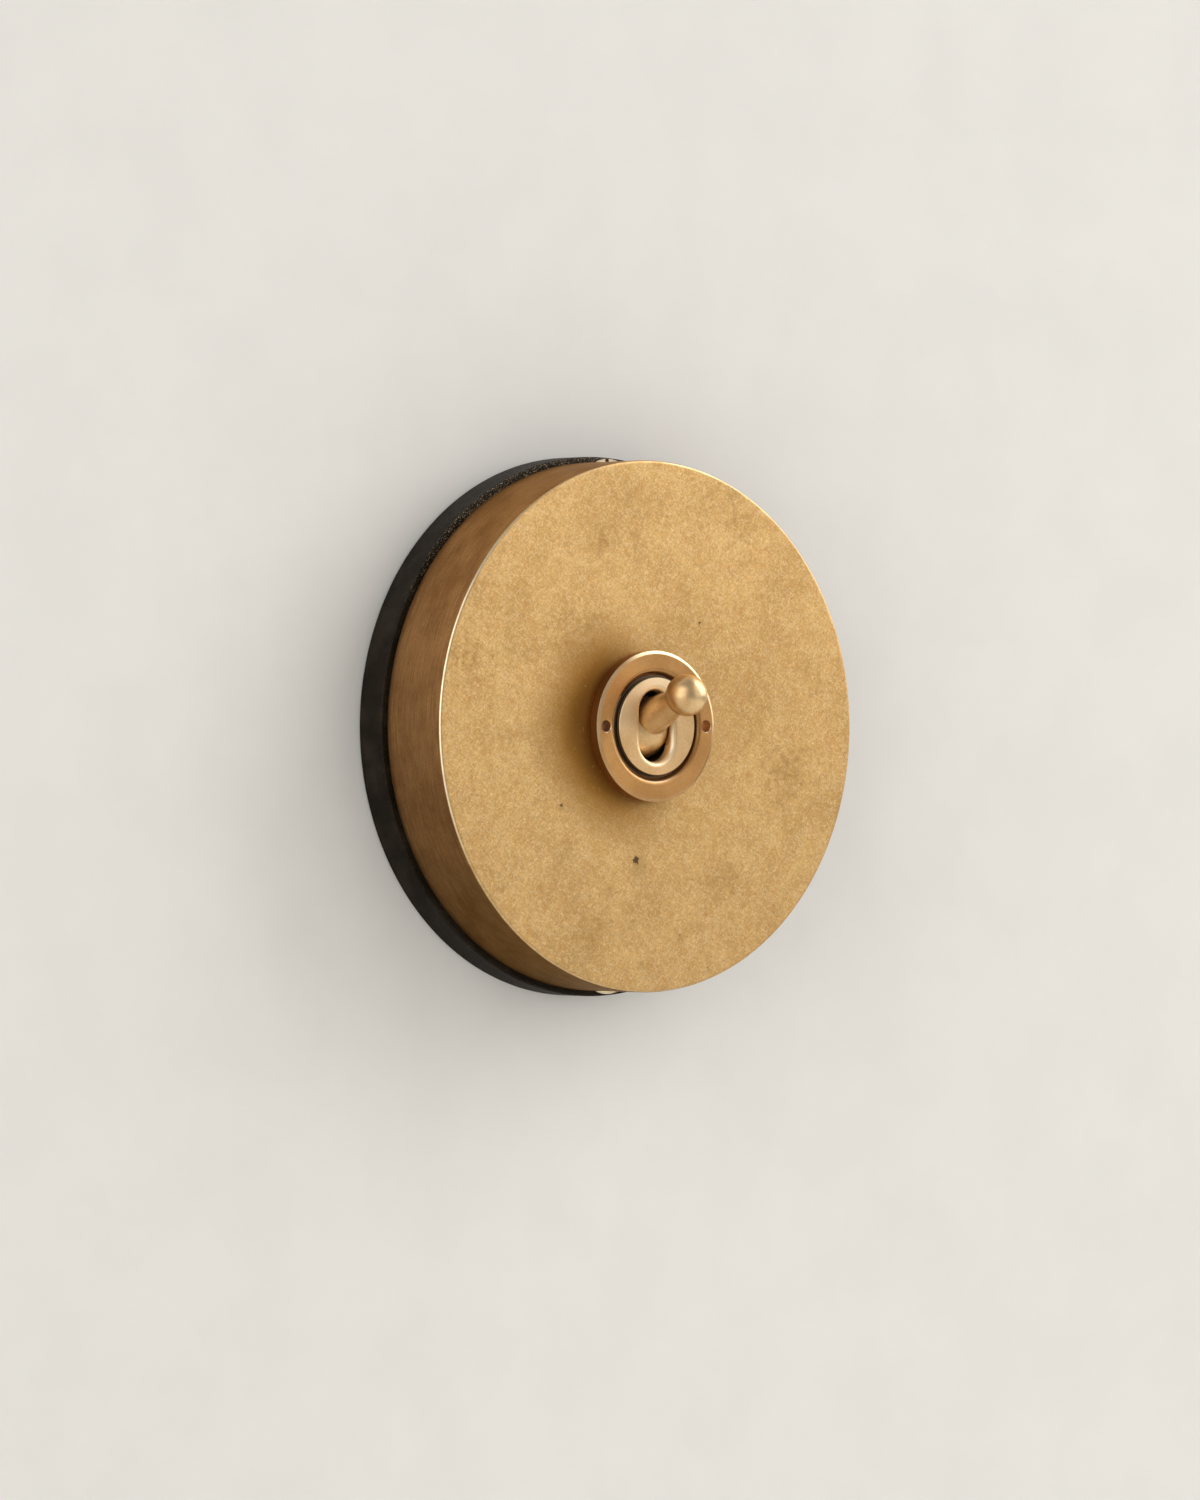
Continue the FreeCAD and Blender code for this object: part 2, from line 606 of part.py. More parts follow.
def common_terminal():
    """The side terminal, with a strip to the middle and a round-topped fulcrum for the rocker."""
    shape = terminal_block(common_offset, 0, X)
    half = FULCRUM_LENGTH / 2
    inner = common_offset - TERMINAL_SIZE / 2
    strip = block((-half, inner + FIT_GAP), around(0, 2 * FULCRUM_RADIUS + STRIP_THICKNESS),
                  (body_bottom, strip_top))
    post = block((-half, half), around(0, 2 * FULCRUM_RADIUS), (body_bottom, fulcrum_height))
    top = rod(2 * FULCRUM_RADIUS, vector(-half, 0, fulcrum_height), vector(half, 0, fulcrum_height))
    return shape.fuse([strip, post, top]).removeSplitter()


def terminal_screws():
    """Headless slotted screws that clamp the wires, driven from the back of the switch."""
    tip = body_bottom + TERMINAL_HEIGHT - WIRE_HOLE_RISE - WIRE_HOLE / 2
    screws = []
    for x, y in terminal_screw_spots():
        one = rod(TERMINAL_SCREW_THREAD, vector(x, y, backplate_bottom), vector(x, y, tip))
        groove = block(around(x, TERMINAL_SCREW_SLOT), around(y, TERMINAL_SCREW_THREAD + OVERCUT),
                       (backplate_bottom - OVERCUT, backplate_bottom + TERMINAL_SCREW_THREAD / 3))
        screws.append(one.cut(groove))
    return Part.makeCompound(screws)


def body_outline():
    """The moulded body's rounded rectangle."""
    x = BODY_WIDTH / 2
    y = BODY_LENGTH / 2
    return [(-x, -y, BODY_CORNER), (x, -y, BODY_CORNER), (x, y, BODY_CORNER), (-x, y, BODY_CORNER)]


def switch_body():
    """Moulded body that holds the terminals and gives the rocker room, open at the front and the back."""
    top = flange_bottom
    shape = slab(body_outline(), body_bottom, top)
    room = max(ROCKER_WIDTH, TAIL_DIAMETER) + 2 * BODY_SIDE_GAP
    well = block(around(0, room), around(0, 2 * (rocker_reach + BODY_SIDE_GAP)),
                 (body_bottom - OVERCUT, top + OVERCUT))
    shape = shape.cut(well)
    ball_room = block(around(0, PIVOT_BALL_WIDTH + 2 * BODY_SIDE_GAP), around(0, bush_bore),
                      (pivot_height - bush_bore / 2, top + OVERCUT))
    shape = shape.cut(ball_room)
    pocket = TERMINAL_SIZE + 2 * POCKET_GAP
    pocket_top = body_bottom + TERMINAL_HEIGHT + POCKET_GAP
    for x, y in terminal_screw_spots():
        shape = shape.cut(block(around(x, pocket), around(y, pocket), (body_bottom - OVERCUT, pocket_top)))
    groove_top = strip_top + POCKET_GAP
    groove = STRIP_WIDTH + 2 * POCKET_GAP
    groove_depth = (body_bottom - OVERCUT, groove_top)
    shape = shape.cut(block(around(0, groove), around(0, 2 * terminal_offset), groove_depth))
    shape = shape.cut(block((0, common_offset), around(0, groove), groove_depth))
    wire_height = body_bottom + TERMINAL_HEIGHT - WIRE_HOLE_RISE
    outside = BODY_LENGTH / 2 + OVERCUT
    for side in (-1, 1):
        shape = shape.cut(rod(WIRE_ENTRY, vector(0, side * terminal_offset, wire_height),
                              vector(0, side * outside, wire_height)))
    shape = shape.cut(rod(WIRE_ENTRY, vector(common_offset, 0, wire_height),
                          vector(BODY_WIDTH / 2 + OVERCUT, 0, wire_height)))
    for x, y in flange_screw_spots():
        shape = shape.cut(rod(FLANGE_SCREW_THREAD, vector(x, y, top + OVERCUT),
                              vector(x, y, washer_bottom - FLANGE_SCREW_LENGTH)))
    for x, y in backplate_screw_spots():
        shape = shape.cut(rod(BACKPLATE_SCREW_THREAD, vector(x, y, body_bottom - OVERCUT),
                              vector(x, y, backplate_bottom + BACKPLATE_SCREW_LENGTH)))
    return shape


def body_backplate():
    """Insulating plate that closes the back of the body, with holes for the terminal screws."""
    shape = slab(body_outline(), backplate_bottom, body_bottom)
    access = TERMINAL_SCREW_THREAD + 2 * POCKET_GAP
    for x, y in terminal_screw_spots():
        shape = shape.cut(rod(access, vector(x, y, backplate_bottom - OVERCUT),
                              vector(x, y, body_bottom + OVERCUT)))
    hole = countersink(BACKPLATE_SCREW_THREAD, BACKPLATE_SCREW_HEAD, BACKPLATE_SCREW_LENGTH)
    hole = rotated(hole, X, 180)
    for x, y in backplate_screw_spots():
        shape = shape.cut(moved(hole, x, y, backplate_bottom))
    return shape


def backplate_screws():
    """Countersunk screws from the backplate into the body."""
    one = screw(BACKPLATE_SCREW_THREAD, BACKPLATE_SCREW_HEAD, BACKPLATE_SCREW_LENGTH)
    one = rotated(one, X, 180)
    return Part.makeCompound([moved(one, x, y, backplate_bottom) for x, y in backplate_screw_spots()])


def earth_terminal():
    """Brass block on the back of the cover for the earth wire."""
    x, y = EARTH_PLACE
    low = cover_inside - EARTH_HEIGHT
    shape = block(around(x, EARTH_SIZE), around(y, EARTH_SIZE), (low, cover_inside))
    wire_height = cover_inside - EARTH_HEIGHT / 3
    shape = shape.cut(rod(EARTH_WIRE_HOLE, vector(x, y - EARTH_SIZE, wire_height),
                          vector(x, y + EARTH_SIZE, wire_height)))
    return shape.cut(rod(EARTH_SCREW_THREAD, vector(x, y, low - OVERCUT), vector(x, y, wire_height)))


def earth_screw():
    """Headless slotted screw that clamps the earth wire."""
    x, y = EARTH_PLACE
    low = cover_inside - EARTH_HEIGHT - EARTH_SCREW_THREAD / 2
    tip = cover_inside - EARTH_HEIGHT / 3 - EARTH_WIRE_HOLE / 2
    shape = rod(EARTH_SCREW_THREAD, vector(x, y, low), vector(x, y, tip))
    groove = block(around(x, TERMINAL_SCREW_SLOT), around(y, EARTH_SCREW_THREAD + OVERCUT),
                   (low - OVERCUT, low + EARTH_SCREW_THREAD / 3))
    return shape.cut(groove)


def stand_up(shape):
    """Turns a piece from the bench to the wall: +Z up, front facing -Y."""
    return rotated(shape, X, 90)


PIECES = {
    "base": base,
    "screw_inserts": screw_inserts,
    "cover": cover,
    "cover_screws": cover_screws,
    "ring_nut": ring_nut,
    "bush": bush,
    "clamp_washer": clamp_washer,
    "flange_screws": flange_screws,
    "pivot_pin": pivot_pin,
    "dolly": dolly,
    "plunger": plunger,
    "plunger_spring": plunger_spring,
    "rocker": rocker,
    "rocker_contacts": rocker_contacts,
    "fixed_contacts": fixed_contacts,
    "upper_terminal": lambda: end_terminal(1),
    "lower_terminal": lambda: end_terminal(-1),
    "common_terminal": common_terminal,
    "terminal_screws": terminal_screws,
    "switch_body": switch_body,
    "body_backplate": body_backplate,
    "backplate_screws": backplate_screws,
    "earth_terminal": earth_terminal,
    "earth_screw": earth_screw,
}


def main():
    """Builds every piece and writes each to its own STEP file."""
    os.makedirs("parts", exist_ok=True)
    for name, make in PIECES.items():
        shape = stand_up(make())
        shape.exportStep(f"parts/{name}.step")
        print(f"{name}: {len(shape.Solids)} solid(s), {shape.Volume:.1f} mm3, valid {shape.isValid()}")
    print(f"From the wall: front face {cover_face:.3f}, dolly pivot {pivot_height:.3f}, "
          f"rocker pivot {fulcrum_height:.3f}, plunger tip {plunger_tip:.3f} behind the dolly's pivot")


main()
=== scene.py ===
"""Looks of a round brass dolly switch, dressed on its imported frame."""

import json
import logging
import math
from abc import ABC, abstractmethod
from collections.abc import Iterable, Sequence
from dataclasses import dataclass
from enum import Enum

import bmesh
import bpy
from bpy.types import Material, Mesh
from bpy.types import NodeSocket as Socket
from mathutils import Matrix, Vector


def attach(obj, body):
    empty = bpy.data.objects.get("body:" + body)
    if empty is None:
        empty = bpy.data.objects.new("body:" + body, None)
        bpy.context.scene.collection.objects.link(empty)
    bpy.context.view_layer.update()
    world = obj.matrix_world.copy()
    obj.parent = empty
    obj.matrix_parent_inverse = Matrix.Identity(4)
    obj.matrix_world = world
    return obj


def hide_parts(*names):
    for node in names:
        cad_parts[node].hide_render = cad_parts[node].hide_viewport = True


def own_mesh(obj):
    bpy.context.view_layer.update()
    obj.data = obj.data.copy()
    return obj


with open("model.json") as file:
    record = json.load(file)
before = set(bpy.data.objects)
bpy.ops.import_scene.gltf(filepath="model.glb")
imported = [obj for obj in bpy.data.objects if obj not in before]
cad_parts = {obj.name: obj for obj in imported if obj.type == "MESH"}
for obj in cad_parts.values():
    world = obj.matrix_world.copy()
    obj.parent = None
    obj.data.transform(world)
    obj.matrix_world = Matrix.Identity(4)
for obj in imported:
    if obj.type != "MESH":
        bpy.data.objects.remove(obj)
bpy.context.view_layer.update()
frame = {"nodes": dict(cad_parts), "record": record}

log = logging.getLogger("dolly_switch")

Corner = tuple[float, ...]
Colour = tuple[float, float, float]
Place = tuple[float, float, float]
Loop = list[Vector]

# Pieces are drawn in millimetres on a bench, face up along +Z, and then hung on the wall with
# that face along -Y.
MM = 0.001
BENCH_TO_WALL = Matrix.Diagonal((MM, MM, MM, 1.0)) @ Matrix.Rotation(math.radians(90), 4, "X")
QUARTER = math.pi / 2
SIDES = (1, -1)
CLEAR = 1.0                       # how far a cutter stands out of what it cuts
POINT = 1e-6                      # a radius below this is a point
SEAM = 1e-8                       # points nearer than this are one, in metres
SLIVER = 1e-9                     # edges shorter than this go, in metres
SHARP_ANGLE = math.radians(32)    # edges sharper than this are not shaded smoothly


class Body(Enum):
    """The moving groups that the pieces made here ride on."""

    HOUSING = "housing"
    LEVER = "lever"


class Slot(Enum):
    """The record's material slots."""

    ANTIQUE_BRASS = "antique_brass"
    SATIN_BRASS = "satin_brass"
    SCREW_BRASS = "screw_brass"
    PLAIN_BRASS = "plain_brass"
    BLACK_BASE = "black_base"
    BROWN_MOULDING = "brown_moulding"
    RED_FIBRE = "red_fibre"
    WHITE_NYLON = "white_nylon"
    BRIGHT_STEEL = "bright_steel"
    SILVER_CONTACT = "silver_contact"


class Carve(Enum):
    """What one mesh does to another."""

    CUT = "DIFFERENCE"
    JOIN = "UNION"


# Node graphs


class Graph:
    """A node tree, with short ways to add nodes and join them."""

    def __init__(self, tree: bpy.types.NodeTree) -> None:
        """Keeps the tree and empties it."""
        self.tree = tree
        tree.nodes.clear()

    def add(self, kind: str, inputs: dict | None = None, **settings: object) -> bpy.types.Node:
        """Adds a node.

        Args:
            kind: the node's type name.
            inputs: values or sockets for its inputs, by name or by place.
            settings: the node's own properties.

        Returns:
            The new node.
        """
        node = self.tree.nodes.new(kind)
        for key, value in settings.items():
            setattr(node, key, value)
        for key, value in (inputs or {}).items():
            self.feed(node.inputs[key], value)
        return node

    def feed(self, socket: Socket, value: object) -> None:
        """Joins an input to another node's output, or sets its value.

        Args:
            socket: the input.
            value: an output socket, or a plain value.
        """
        if isinstance(value, Socket):
            self.tree.links.new(value, socket)
        else:
            socket.default_value = value

    def math(self, operation: str, *values: object) -> Socket:
        """The result of a Math node on up to three values or sockets."""
        return self.add("ShaderNodeMath", dict(enumerate(values)), operation=operation).outputs[0]

    def times(self, product: object, *factors: object) -> Socket:
        """The product of values or sockets."""
        for factor in factors:
            product = self.math("MULTIPLY", product, factor)
        return product

    def vector(self, **axes: object) -> Socket:
        """A vector of the values or sockets given for X, Y and Z."""
        return self.add("ShaderNodeCombineXYZ", axes).outputs[0]


class Shader(Graph):
    """A material with one surface shader, patterned on Object coordinates in millimetres."""

    def __init__(self, name: str) -> None:
        """Makes the material.

        Args:
            name: the material's name.
        """
        self.material = bpy.data.materials.new(name)
        self.material.use_nodes = True
        super().__init__(self.material.node_tree)
        self.surface = self.add("ShaderNodeBsdfPrincipled")
        self.output = self.add("ShaderNodeOutputMaterial", {"Surface": self.surface.outputs[0]})
        place = self.add("ShaderNodeTexCoord").outputs["Object"]
        self.place = self.vectors("MULTIPLY", place, (1 / MM, 1 / MM, 1 / MM))[0]

    def set(self, **inputs: object) -> None:
        """Sets or joins inputs of the surface shader, with _ for a space in their names."""
        for key, value in inputs.items():
            self.feed(self.surface.inputs[key.replace("_", " ")], value)

    def vectors(self, operation: str, *values: object) -> Sequence[Socket]:
        """The results of a Vector Math node: a vector and a number."""
        inputs = dict(enumerate(values))
        return self.add("ShaderNodeVectorMath", inputs, operation=operation).outputs

    def stretched(self, scale: Place) -> Socket:
        """The place, scaled apart on each axis."""
        return self.vectors("MULTIPLY", self.place, scale)[0]

    def along(self, across: float, up: float) -> Socket:
        """The place on a slanting line over the face, from shares of right and of up."""
        return self.vectors("DOT_PRODUCT", self.place, (across, 0, up))[1]

    def height(self) -> Socket:
        """The height above the wall."""
        return self.vectors("DOT_PRODUCT", self.place, (0, -1, 0))[1]

    def radius(self, across: float = 1.0) -> Socket:
        """The distance from the switch's middle line, with the sideways part scaled."""
        return self.vectors("LENGTH", self.stretched((across, 0, 1)))[1]

    def away(self, point: Place, wobble: Socket) -> Socket:
        """The distance from a point, made uneven by a pattern."""
        return self.math("ADD", self.vectors("DISTANCE", self.place, point)[1], wobble)

    def noise(self, scale: float, detail: float = 3.0, vector: Socket | None = None,
              rough: float = 0.55) -> Socket:
        """A noise pattern from 0 to 1.

        Args:
            scale: how many features there are in a millimetre.
            detail: its octaves.
            vector: where it is read, the place unless given.
            rough: how strong the finer octaves are.

        Returns:
            The pattern's socket.
        """
        where = self.place if vector is None else vector
        inputs = {"Vector": where, "Scale": scale, "Detail": detail, "Roughness": rough}
        return self.add("ShaderNodeTexNoise", inputs).outputs[0]

    def sway(self, scale: float, detail: float, rough: float) -> Socket:
        """A noise pattern on both sides of 0."""
        return self.math("SUBTRACT", self.noise(scale, detail, rough=rough), 0.5)

    def band(self, value: object, low: float, high: float, least: float = 0.0,
             most: float = 1.0) -> Socket:
        """A soft step.

        Args:
            value: what is compared.
            low: where the step starts.
            high: where it ends.
            least: the result before it.
            most: the result after it.

        Returns:
            The step's socket.
        """
        inputs = {"Value": value, "From Min": low, "From Max": high,
                  "To Min": least, "To Max": most}
        return self.add("ShaderNodeMapRange", inputs, interpolation_type="SMOOTHSTEP").outputs[0]

    def mix(self, share: object, first: object, second: object, blend: str = "MIX") -> Socket:
        """Mixes two colours.

        Args:
            share: how much of the second there is.
            first: a colour or socket.
            second: a colour or socket.
            blend: how they meet.

        Returns:
            The mixed colour's socket.
        """
        first, second = (opaque(c) if isinstance(c, tuple) else c for c in (first, second))
        inputs = {0: share, 6: first, 7: second}
        return self.add("ShaderNodeMix", inputs, data_type="RGBA", blend_type=blend).outputs[2]

    def shaded(self, colour: object, *tones: Socket) -> Socket:
        """A colour made lighter or darker by tones."""
        return self.mix(1.0, colour, self.times(*tones), "MULTIPLY")

    def bump(self, height: Socket, depth: float, strength: object = 1.0) -> None:
        """Gives the surface a relief, added over what it has.

        Args:
            height: the relief, from 0 to 1.
            depth: how deep it is, in millimetres.
            strength: how much of it shows.
        """
        normal = self.surface.inputs["Normal"]
        inputs = {"Height": height, "Distance": depth * MM, "Strength": strength}
        if normal.is_linked:
            inputs["Normal"] = normal.links[0].from_socket
        self.feed(normal, self.add("ShaderNodeBump", inputs).outputs["Normal"])


def opaque(colour: Colour) -> tuple[float, float, float, float]:
    """A colour with full alpha."""
    return (*colour, 1.0)


# Mesh making, all in the bench frame


def arc(radius: float, start: float, end: float, steps: int, height: float = 0.0) -> list[Corner]:
    """Part of a circle round a middle on the axis.

    Args:
        radius: the circle's.
        start: the first point's angle above straight out.
        end: the last point's angle.
        steps: runs between them.
        height: of the middle.

    Returns:
        The points, as (radius, height).
    """
    angles = (start + (end - start) * k / steps for k in range(steps + 1))
    return [(radius * math.cos(a), height + radius * math.sin(a)) for a in angles]


def rounded_path(corners: Sequence[Corner], closed: bool, steps: int, stride: float,
                 hold: float) -> list[Vector]:
    """Rounds the corners of an outline and adds points along its straight runs.

    Args:
        corners: (radius, height) or (radius, height, rounding).
        closed: whether the last corner joins the first.
        steps: points along each rounding.
        stride: the longest run between points.
        hold: how near to a run's ends its first and last points lie.

    Returns:
        The outline's points.
    """
    points = [Vector(c[:2]) for c in corners]
    path: list[Vector] = []
    for i, corner in enumerate(corners):
        here = points[i]
        rounding = corner[2] if len(corner) > 2 else 0.0
        if not rounding:
            path.append(here)
            continue
        back = (points[i - 1] - here).normalized()
        ahead = (points[(i + 1) % len(points)] - here).normalized()
        half = back.angle(ahead) / 2
        centre = here + (back + ahead).normalized() * (rounding / math.sin(half))
        start = here + back * (rounding / math.tan(half)) - centre
        end = here + ahead * (rounding / math.tan(half)) - centre
        sweep = math.atan2(start.x * end.y - start.y * end.x, start.dot(end))
        for k in range(steps + 1):
            path.append(centre + Matrix.Rotation(sweep * k / steps, 2) @ start)
    filled: list[Vector] = []
    last = len(path) if closed else len(path) - 1
    for i in range(last):
        here, there = path[i], path[(i + 1) % len(path)]
        length = (there - here).length
        filled.append(here)
        if length > 4 * hold:
            inner = max(1, math.ceil((length - 2 * hold) / stride))
            stops = [hold + (length - 2 * hold) * k / inner for k in range(inner + 1)]
            filled.extend(here + (there - here) * (stop / length) for stop in stops)
    if not closed:
        filled.append(path[-1])
    return filled


def skinned(name: str, loops: Sequence[Loop], closed: bool) -> Mesh:
    """Joins loops of points into a surface.

    Args:
        name: the mesh's name.
        loops: loops of the same number of points, or of one point for a pole.
        closed: whether the last loop joins the first.

    Returns:
        The mesh.
    """
    made = bmesh.new()
    rings = [[made.verts.new(p) for p in loop] for loop in loops]
    for low, high in zip(rings, rings[1:] + (rings[:1] if closed else [])):
        count = max(len(low), len(high))
        for i in range(count):
            j = (i + 1) % count
            corners = [low[i % len(low)], low[j % len(low)],
                       high[j % len(high)], high[i % len(high)]]
            made.faces.new(list(dict.fromkeys(corners)))
    bmesh.ops.recalc_face_normals(made, faces=made.faces)
    return to_mesh(name, made)


def to_mesh(name: str, made: bmesh.types.BMesh) -> Mesh:
    """Turns an editing mesh into a plain one and frees it."""
    mesh = bpy.data.meshes.new(name)
    made.to_mesh(mesh)
    made.free()
    return mesh


def circle(radius: float, height: float, segments: int) -> Loop:
    """A loop round the bench's axis, or its middle point where the radius is nothing."""
    if radius < POINT:
        return [Vector((0.0, 0.0, height))]
    turns = (2 * math.pi * i / segments for i in range(segments))
    return [Vector((radius * math.sin(a), radius * math.cos(a), height)) for a in turns]


def turned(name: str, corners: Sequence[Corner], closed: bool = True, segments: int = 96,
           steps: int = 8, stride: float = 3.0, hold: float = 0.10) -> Mesh:
    """A turned solid.

    Args:
        name: the mesh's name.
        corners: its outline, (radius, height) or (radius, height, rounding).
        closed: whether the outline closes on itself; otherwise it starts and ends on the axis.
        segments: points round the axis.
        steps: points along each rounding.
        stride: the longest run between points of the outline.
        hold: how near to an edge the first support loop lies.

    Returns:
        The mesh.
    """
    path = rounded_path(corners, closed, steps, stride, hold)
    return skinned(name, [circle(p.x, p.y, segments) for p in path], closed)


def drill(stations: Sequence[Corner], place: Matrix, segments: int = 48) -> Mesh:
    """A cutter with a round section.

    Args:
        stations: (radius, height) along its own axis, from its tip.
        place: takes it to where it cuts.
        segments: points round it.

    Returns:
        The cutter's mesh.
    """
    corners = [(0.0, stations[0][1]), *stations, (0.0, stations[-1][1])]
    mesh = turned("cutter", corners, closed=False, segments=segments, hold=math.inf)
    mesh.transform(place)
    return mesh


def countersunk(shank: float, head: float, depth: float, place: Matrix,
                segments: int = 48) -> Mesh:
    """A cutter for a hole that widens at 45 degrees to its mouth.

    Args:
        shank: the hole's radius.
        head: its mouth's radius.
        depth: from the mouth to the hole's end.
        place: takes the mouth to where it lies.
        segments: points round it.

    Returns:
        The cutter's mesh.
    """
    stations = [(shank, -depth), (shank, shank - head), (head, 0.0), (head, CLEAR)]
    return drill(stations, place, segments)


def brick(corner: Sequence[float], opposite: Sequence[float]) -> Mesh:
    """A flat-sided tool between two opposite corners.

    Args:
        corner: one corner.
        opposite: the other.

    Returns:
        The tool's mesh.
    """
    made = bmesh.new()
    size = (abs(b - a) for a, b in zip(corner, opposite))
    middle = (Vector(corner) + Vector(opposite)) / 2
    place = Matrix.Translation(middle) @ Matrix.Diagonal((*size, 1.0))
    bmesh.ops.create_cube(made, size=1.0, matrix=place)
    return to_mesh("cutter", made)


def placed_object(data: bpy.types.ID) -> bpy.types.Object:
    """Puts a mesh, lamp or camera into the scene as an object of its own."""
    made = bpy.data.objects.new(data.name, data)
    bpy.context.scene.collection.objects.link(made)
    return made


def evaluated(made: bpy.types.Object) -> Mesh:
    """The plain mesh that an object's modifiers give."""
    graph = bpy.context.evaluated_depsgraph_get()
    return bpy.data.meshes.new_from_object(made.evaluated_get(graph), depsgraph=graph)


def carved(mesh: Mesh, tools: Iterable[Mesh], how: Carve = Carve.CUT) -> Mesh:
    """Cuts tools out of a mesh, or joins them to it.

    Args:
        mesh: the mesh to work on.
        tools: closed meshes.
        how: what the tools do.

    Returns:
        A new mesh.
    """
    body = placed_object(mesh)
    helpers = [placed_object(tool) for tool in tools]
    for helper in helpers:
        step = body.modifiers.new("carve", "BOOLEAN")
        step.operation = how.value
        step.solver = "EXACT"
        step.object = helper
    result = evaluated(body)
    for made in (body, *helpers):
        bpy.data.objects.remove(made)
    result.name = mesh.name
    return result


def soften(mesh: Mesh) -> None:
    """Closes seams, turns the faces outwards and shades all but the sharp edges smoothly.

    Args:
        mesh: the mesh, in metres.
    """
    made = bmesh.new()
    made.from_mesh(mesh)
    bmesh.ops.remove_doubles(made, verts=made.verts, dist=SEAM)
    bmesh.ops.dissolve_degenerate(made, edges=made.edges, dist=SLIVER)
    bmesh.ops.recalc_face_normals(made, faces=made.faces)
    made.to_mesh(mesh)
    made.free()
    mesh.shade_smooth()
    mesh.set_sharp_from_angle(angle=SHARP_ANGLE)


def hang(name: str, mesh: Mesh, finish: Material, slot: Slot, body: Body,
         *nodes: str) -> bpy.types.Object:
    """Hangs a finished bench mesh on the wall as a piece.

    Args:
        name: the piece's name.
        mesh: its mesh in the bench frame.
        finish: its material.
        slot: not used.
        body: the moving group that it rides on.
        nodes: the CAD nodes that it stands for.

    Returns:
        The piece.
    """
    mesh.transform(BENCH_TO_WALL)
    soften(mesh)
    mesh.materials.clear()
    mesh.materials.append(finish)
    piece = placed_object(mesh)
    piece.name = name
    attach(piece, body.value)
    if nodes:
        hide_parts(*nodes)
    log.info("%s: %d faces, on %s", name, len(mesh.polygons), body.value)
    return piece


# What repeats or follows a path


class Pattern(Graph):
    """A geometry tree with named inputs, run once on a mesh and turned into a plain one."""

    def __init__(self, name: str, sizes: dict[str, float], finish: Material) -> None:
        """Makes the tree's inputs and outputs.

        Args:
            name: the tree's name.
            sizes: its named inputs and their values.
            finish: the material that the result takes.
        """
        tree = bpy.data.node_groups.new(name, "GeometryNodeTree")
        super().__init__(tree)
        self.values = {}
        tree.interface.new_socket("Geometry", in_out="INPUT", socket_type="NodeSocketGeometry")
        for key, value in sizes.items():
            socket = tree.interface.new_socket(key, in_out="INPUT", socket_type="NodeSocketFloat")
            self.values[socket.identifier] = value
        tree.interface.new_socket("Geometry", in_out="OUTPUT", socket_type="NodeSocketGeometry")
        self.given = self.add("NodeGroupInput").outputs
        self.finish = finish

    def end(self, last: bpy.types.Node) -> None:
        """Closes the tree with the last node's geometry, made real and given its material."""
        real = self.add("GeometryNodeRealizeInstances", {0: last.outputs[0]}).outputs[0]
        inputs = {"Geometry": real, "Material": self.finish}
        self.add("NodeGroupOutput", {0: self.add("GeometryNodeSetMaterial", inputs).outputs[0]})

    def run(self, seed: Mesh | None = None) -> Mesh:
        """Runs the tree.

        Args:
            seed: the mesh that it starts from, if it needs one.

        Returns:
            The plain result.
        """
        name = self.tree.name
        holder = placed_object(bpy.data.meshes.new(name) if seed is None else seed)
        step = holder.modifiers.new(name, "NODES")
        step.node_group = self.tree
        for key, value in self.values.items():
            step[key] = value
        result = evaluated(holder)
        bpy.data.objects.remove(holder)
        return result


class Winding(Pattern):
    """A wire wound round the bench's axis: a spring's coil or a thread's ridge."""

    def __init__(self, name: str, finish: Material, turns: float, radius: float, length: float,
                 wire: float, sides: int, start: float, steps: int = 96) -> None:
        """Builds the tree.

        Args:
            name: the tree's name.
            finish: the material of the wire.
            turns: how many times it goes round.
            radius: from the axis to the middle of the wire.
            length: from its first turn to its last.
            wire: the wire's radius.
            sides: points round the wire.
            start: height of its first turn.
            steps: points along each turn.
        """
        super().__init__(name, {
            "Turns": turns, "Coil Radius": radius, "Length": length, "Wire Radius": wire,
            "Start": start,
        }, finish)
        given = self.given
        spiral = self.add("GeometryNodeCurveSpiral", {
            "Resolution": steps, "Rotations": given["Turns"], "Start Radius": given["Coil Radius"],
            "End Radius": given["Coil Radius"], "Height": given["Length"],
        })
        level = self.add("GeometryNodeSetCurveNormal", {0: spiral.outputs[0]}, mode="Z_UP")
        section = self.add("GeometryNodeCurvePrimitiveCircle", {
            "Resolution": sides, "Radius": given["Wire Radius"],
        })
        wound = self.add("GeometryNodeCurveToMesh", {
            "Curve": level.outputs[0], "Profile Curve": section.outputs[0], "Fill Caps": True,
        })
        self.end(self.add("GeometryNodeTransform", {
            "Geometry": wound.outputs[0], "Translation": self.vector(Z=given["Start"]),
        }))


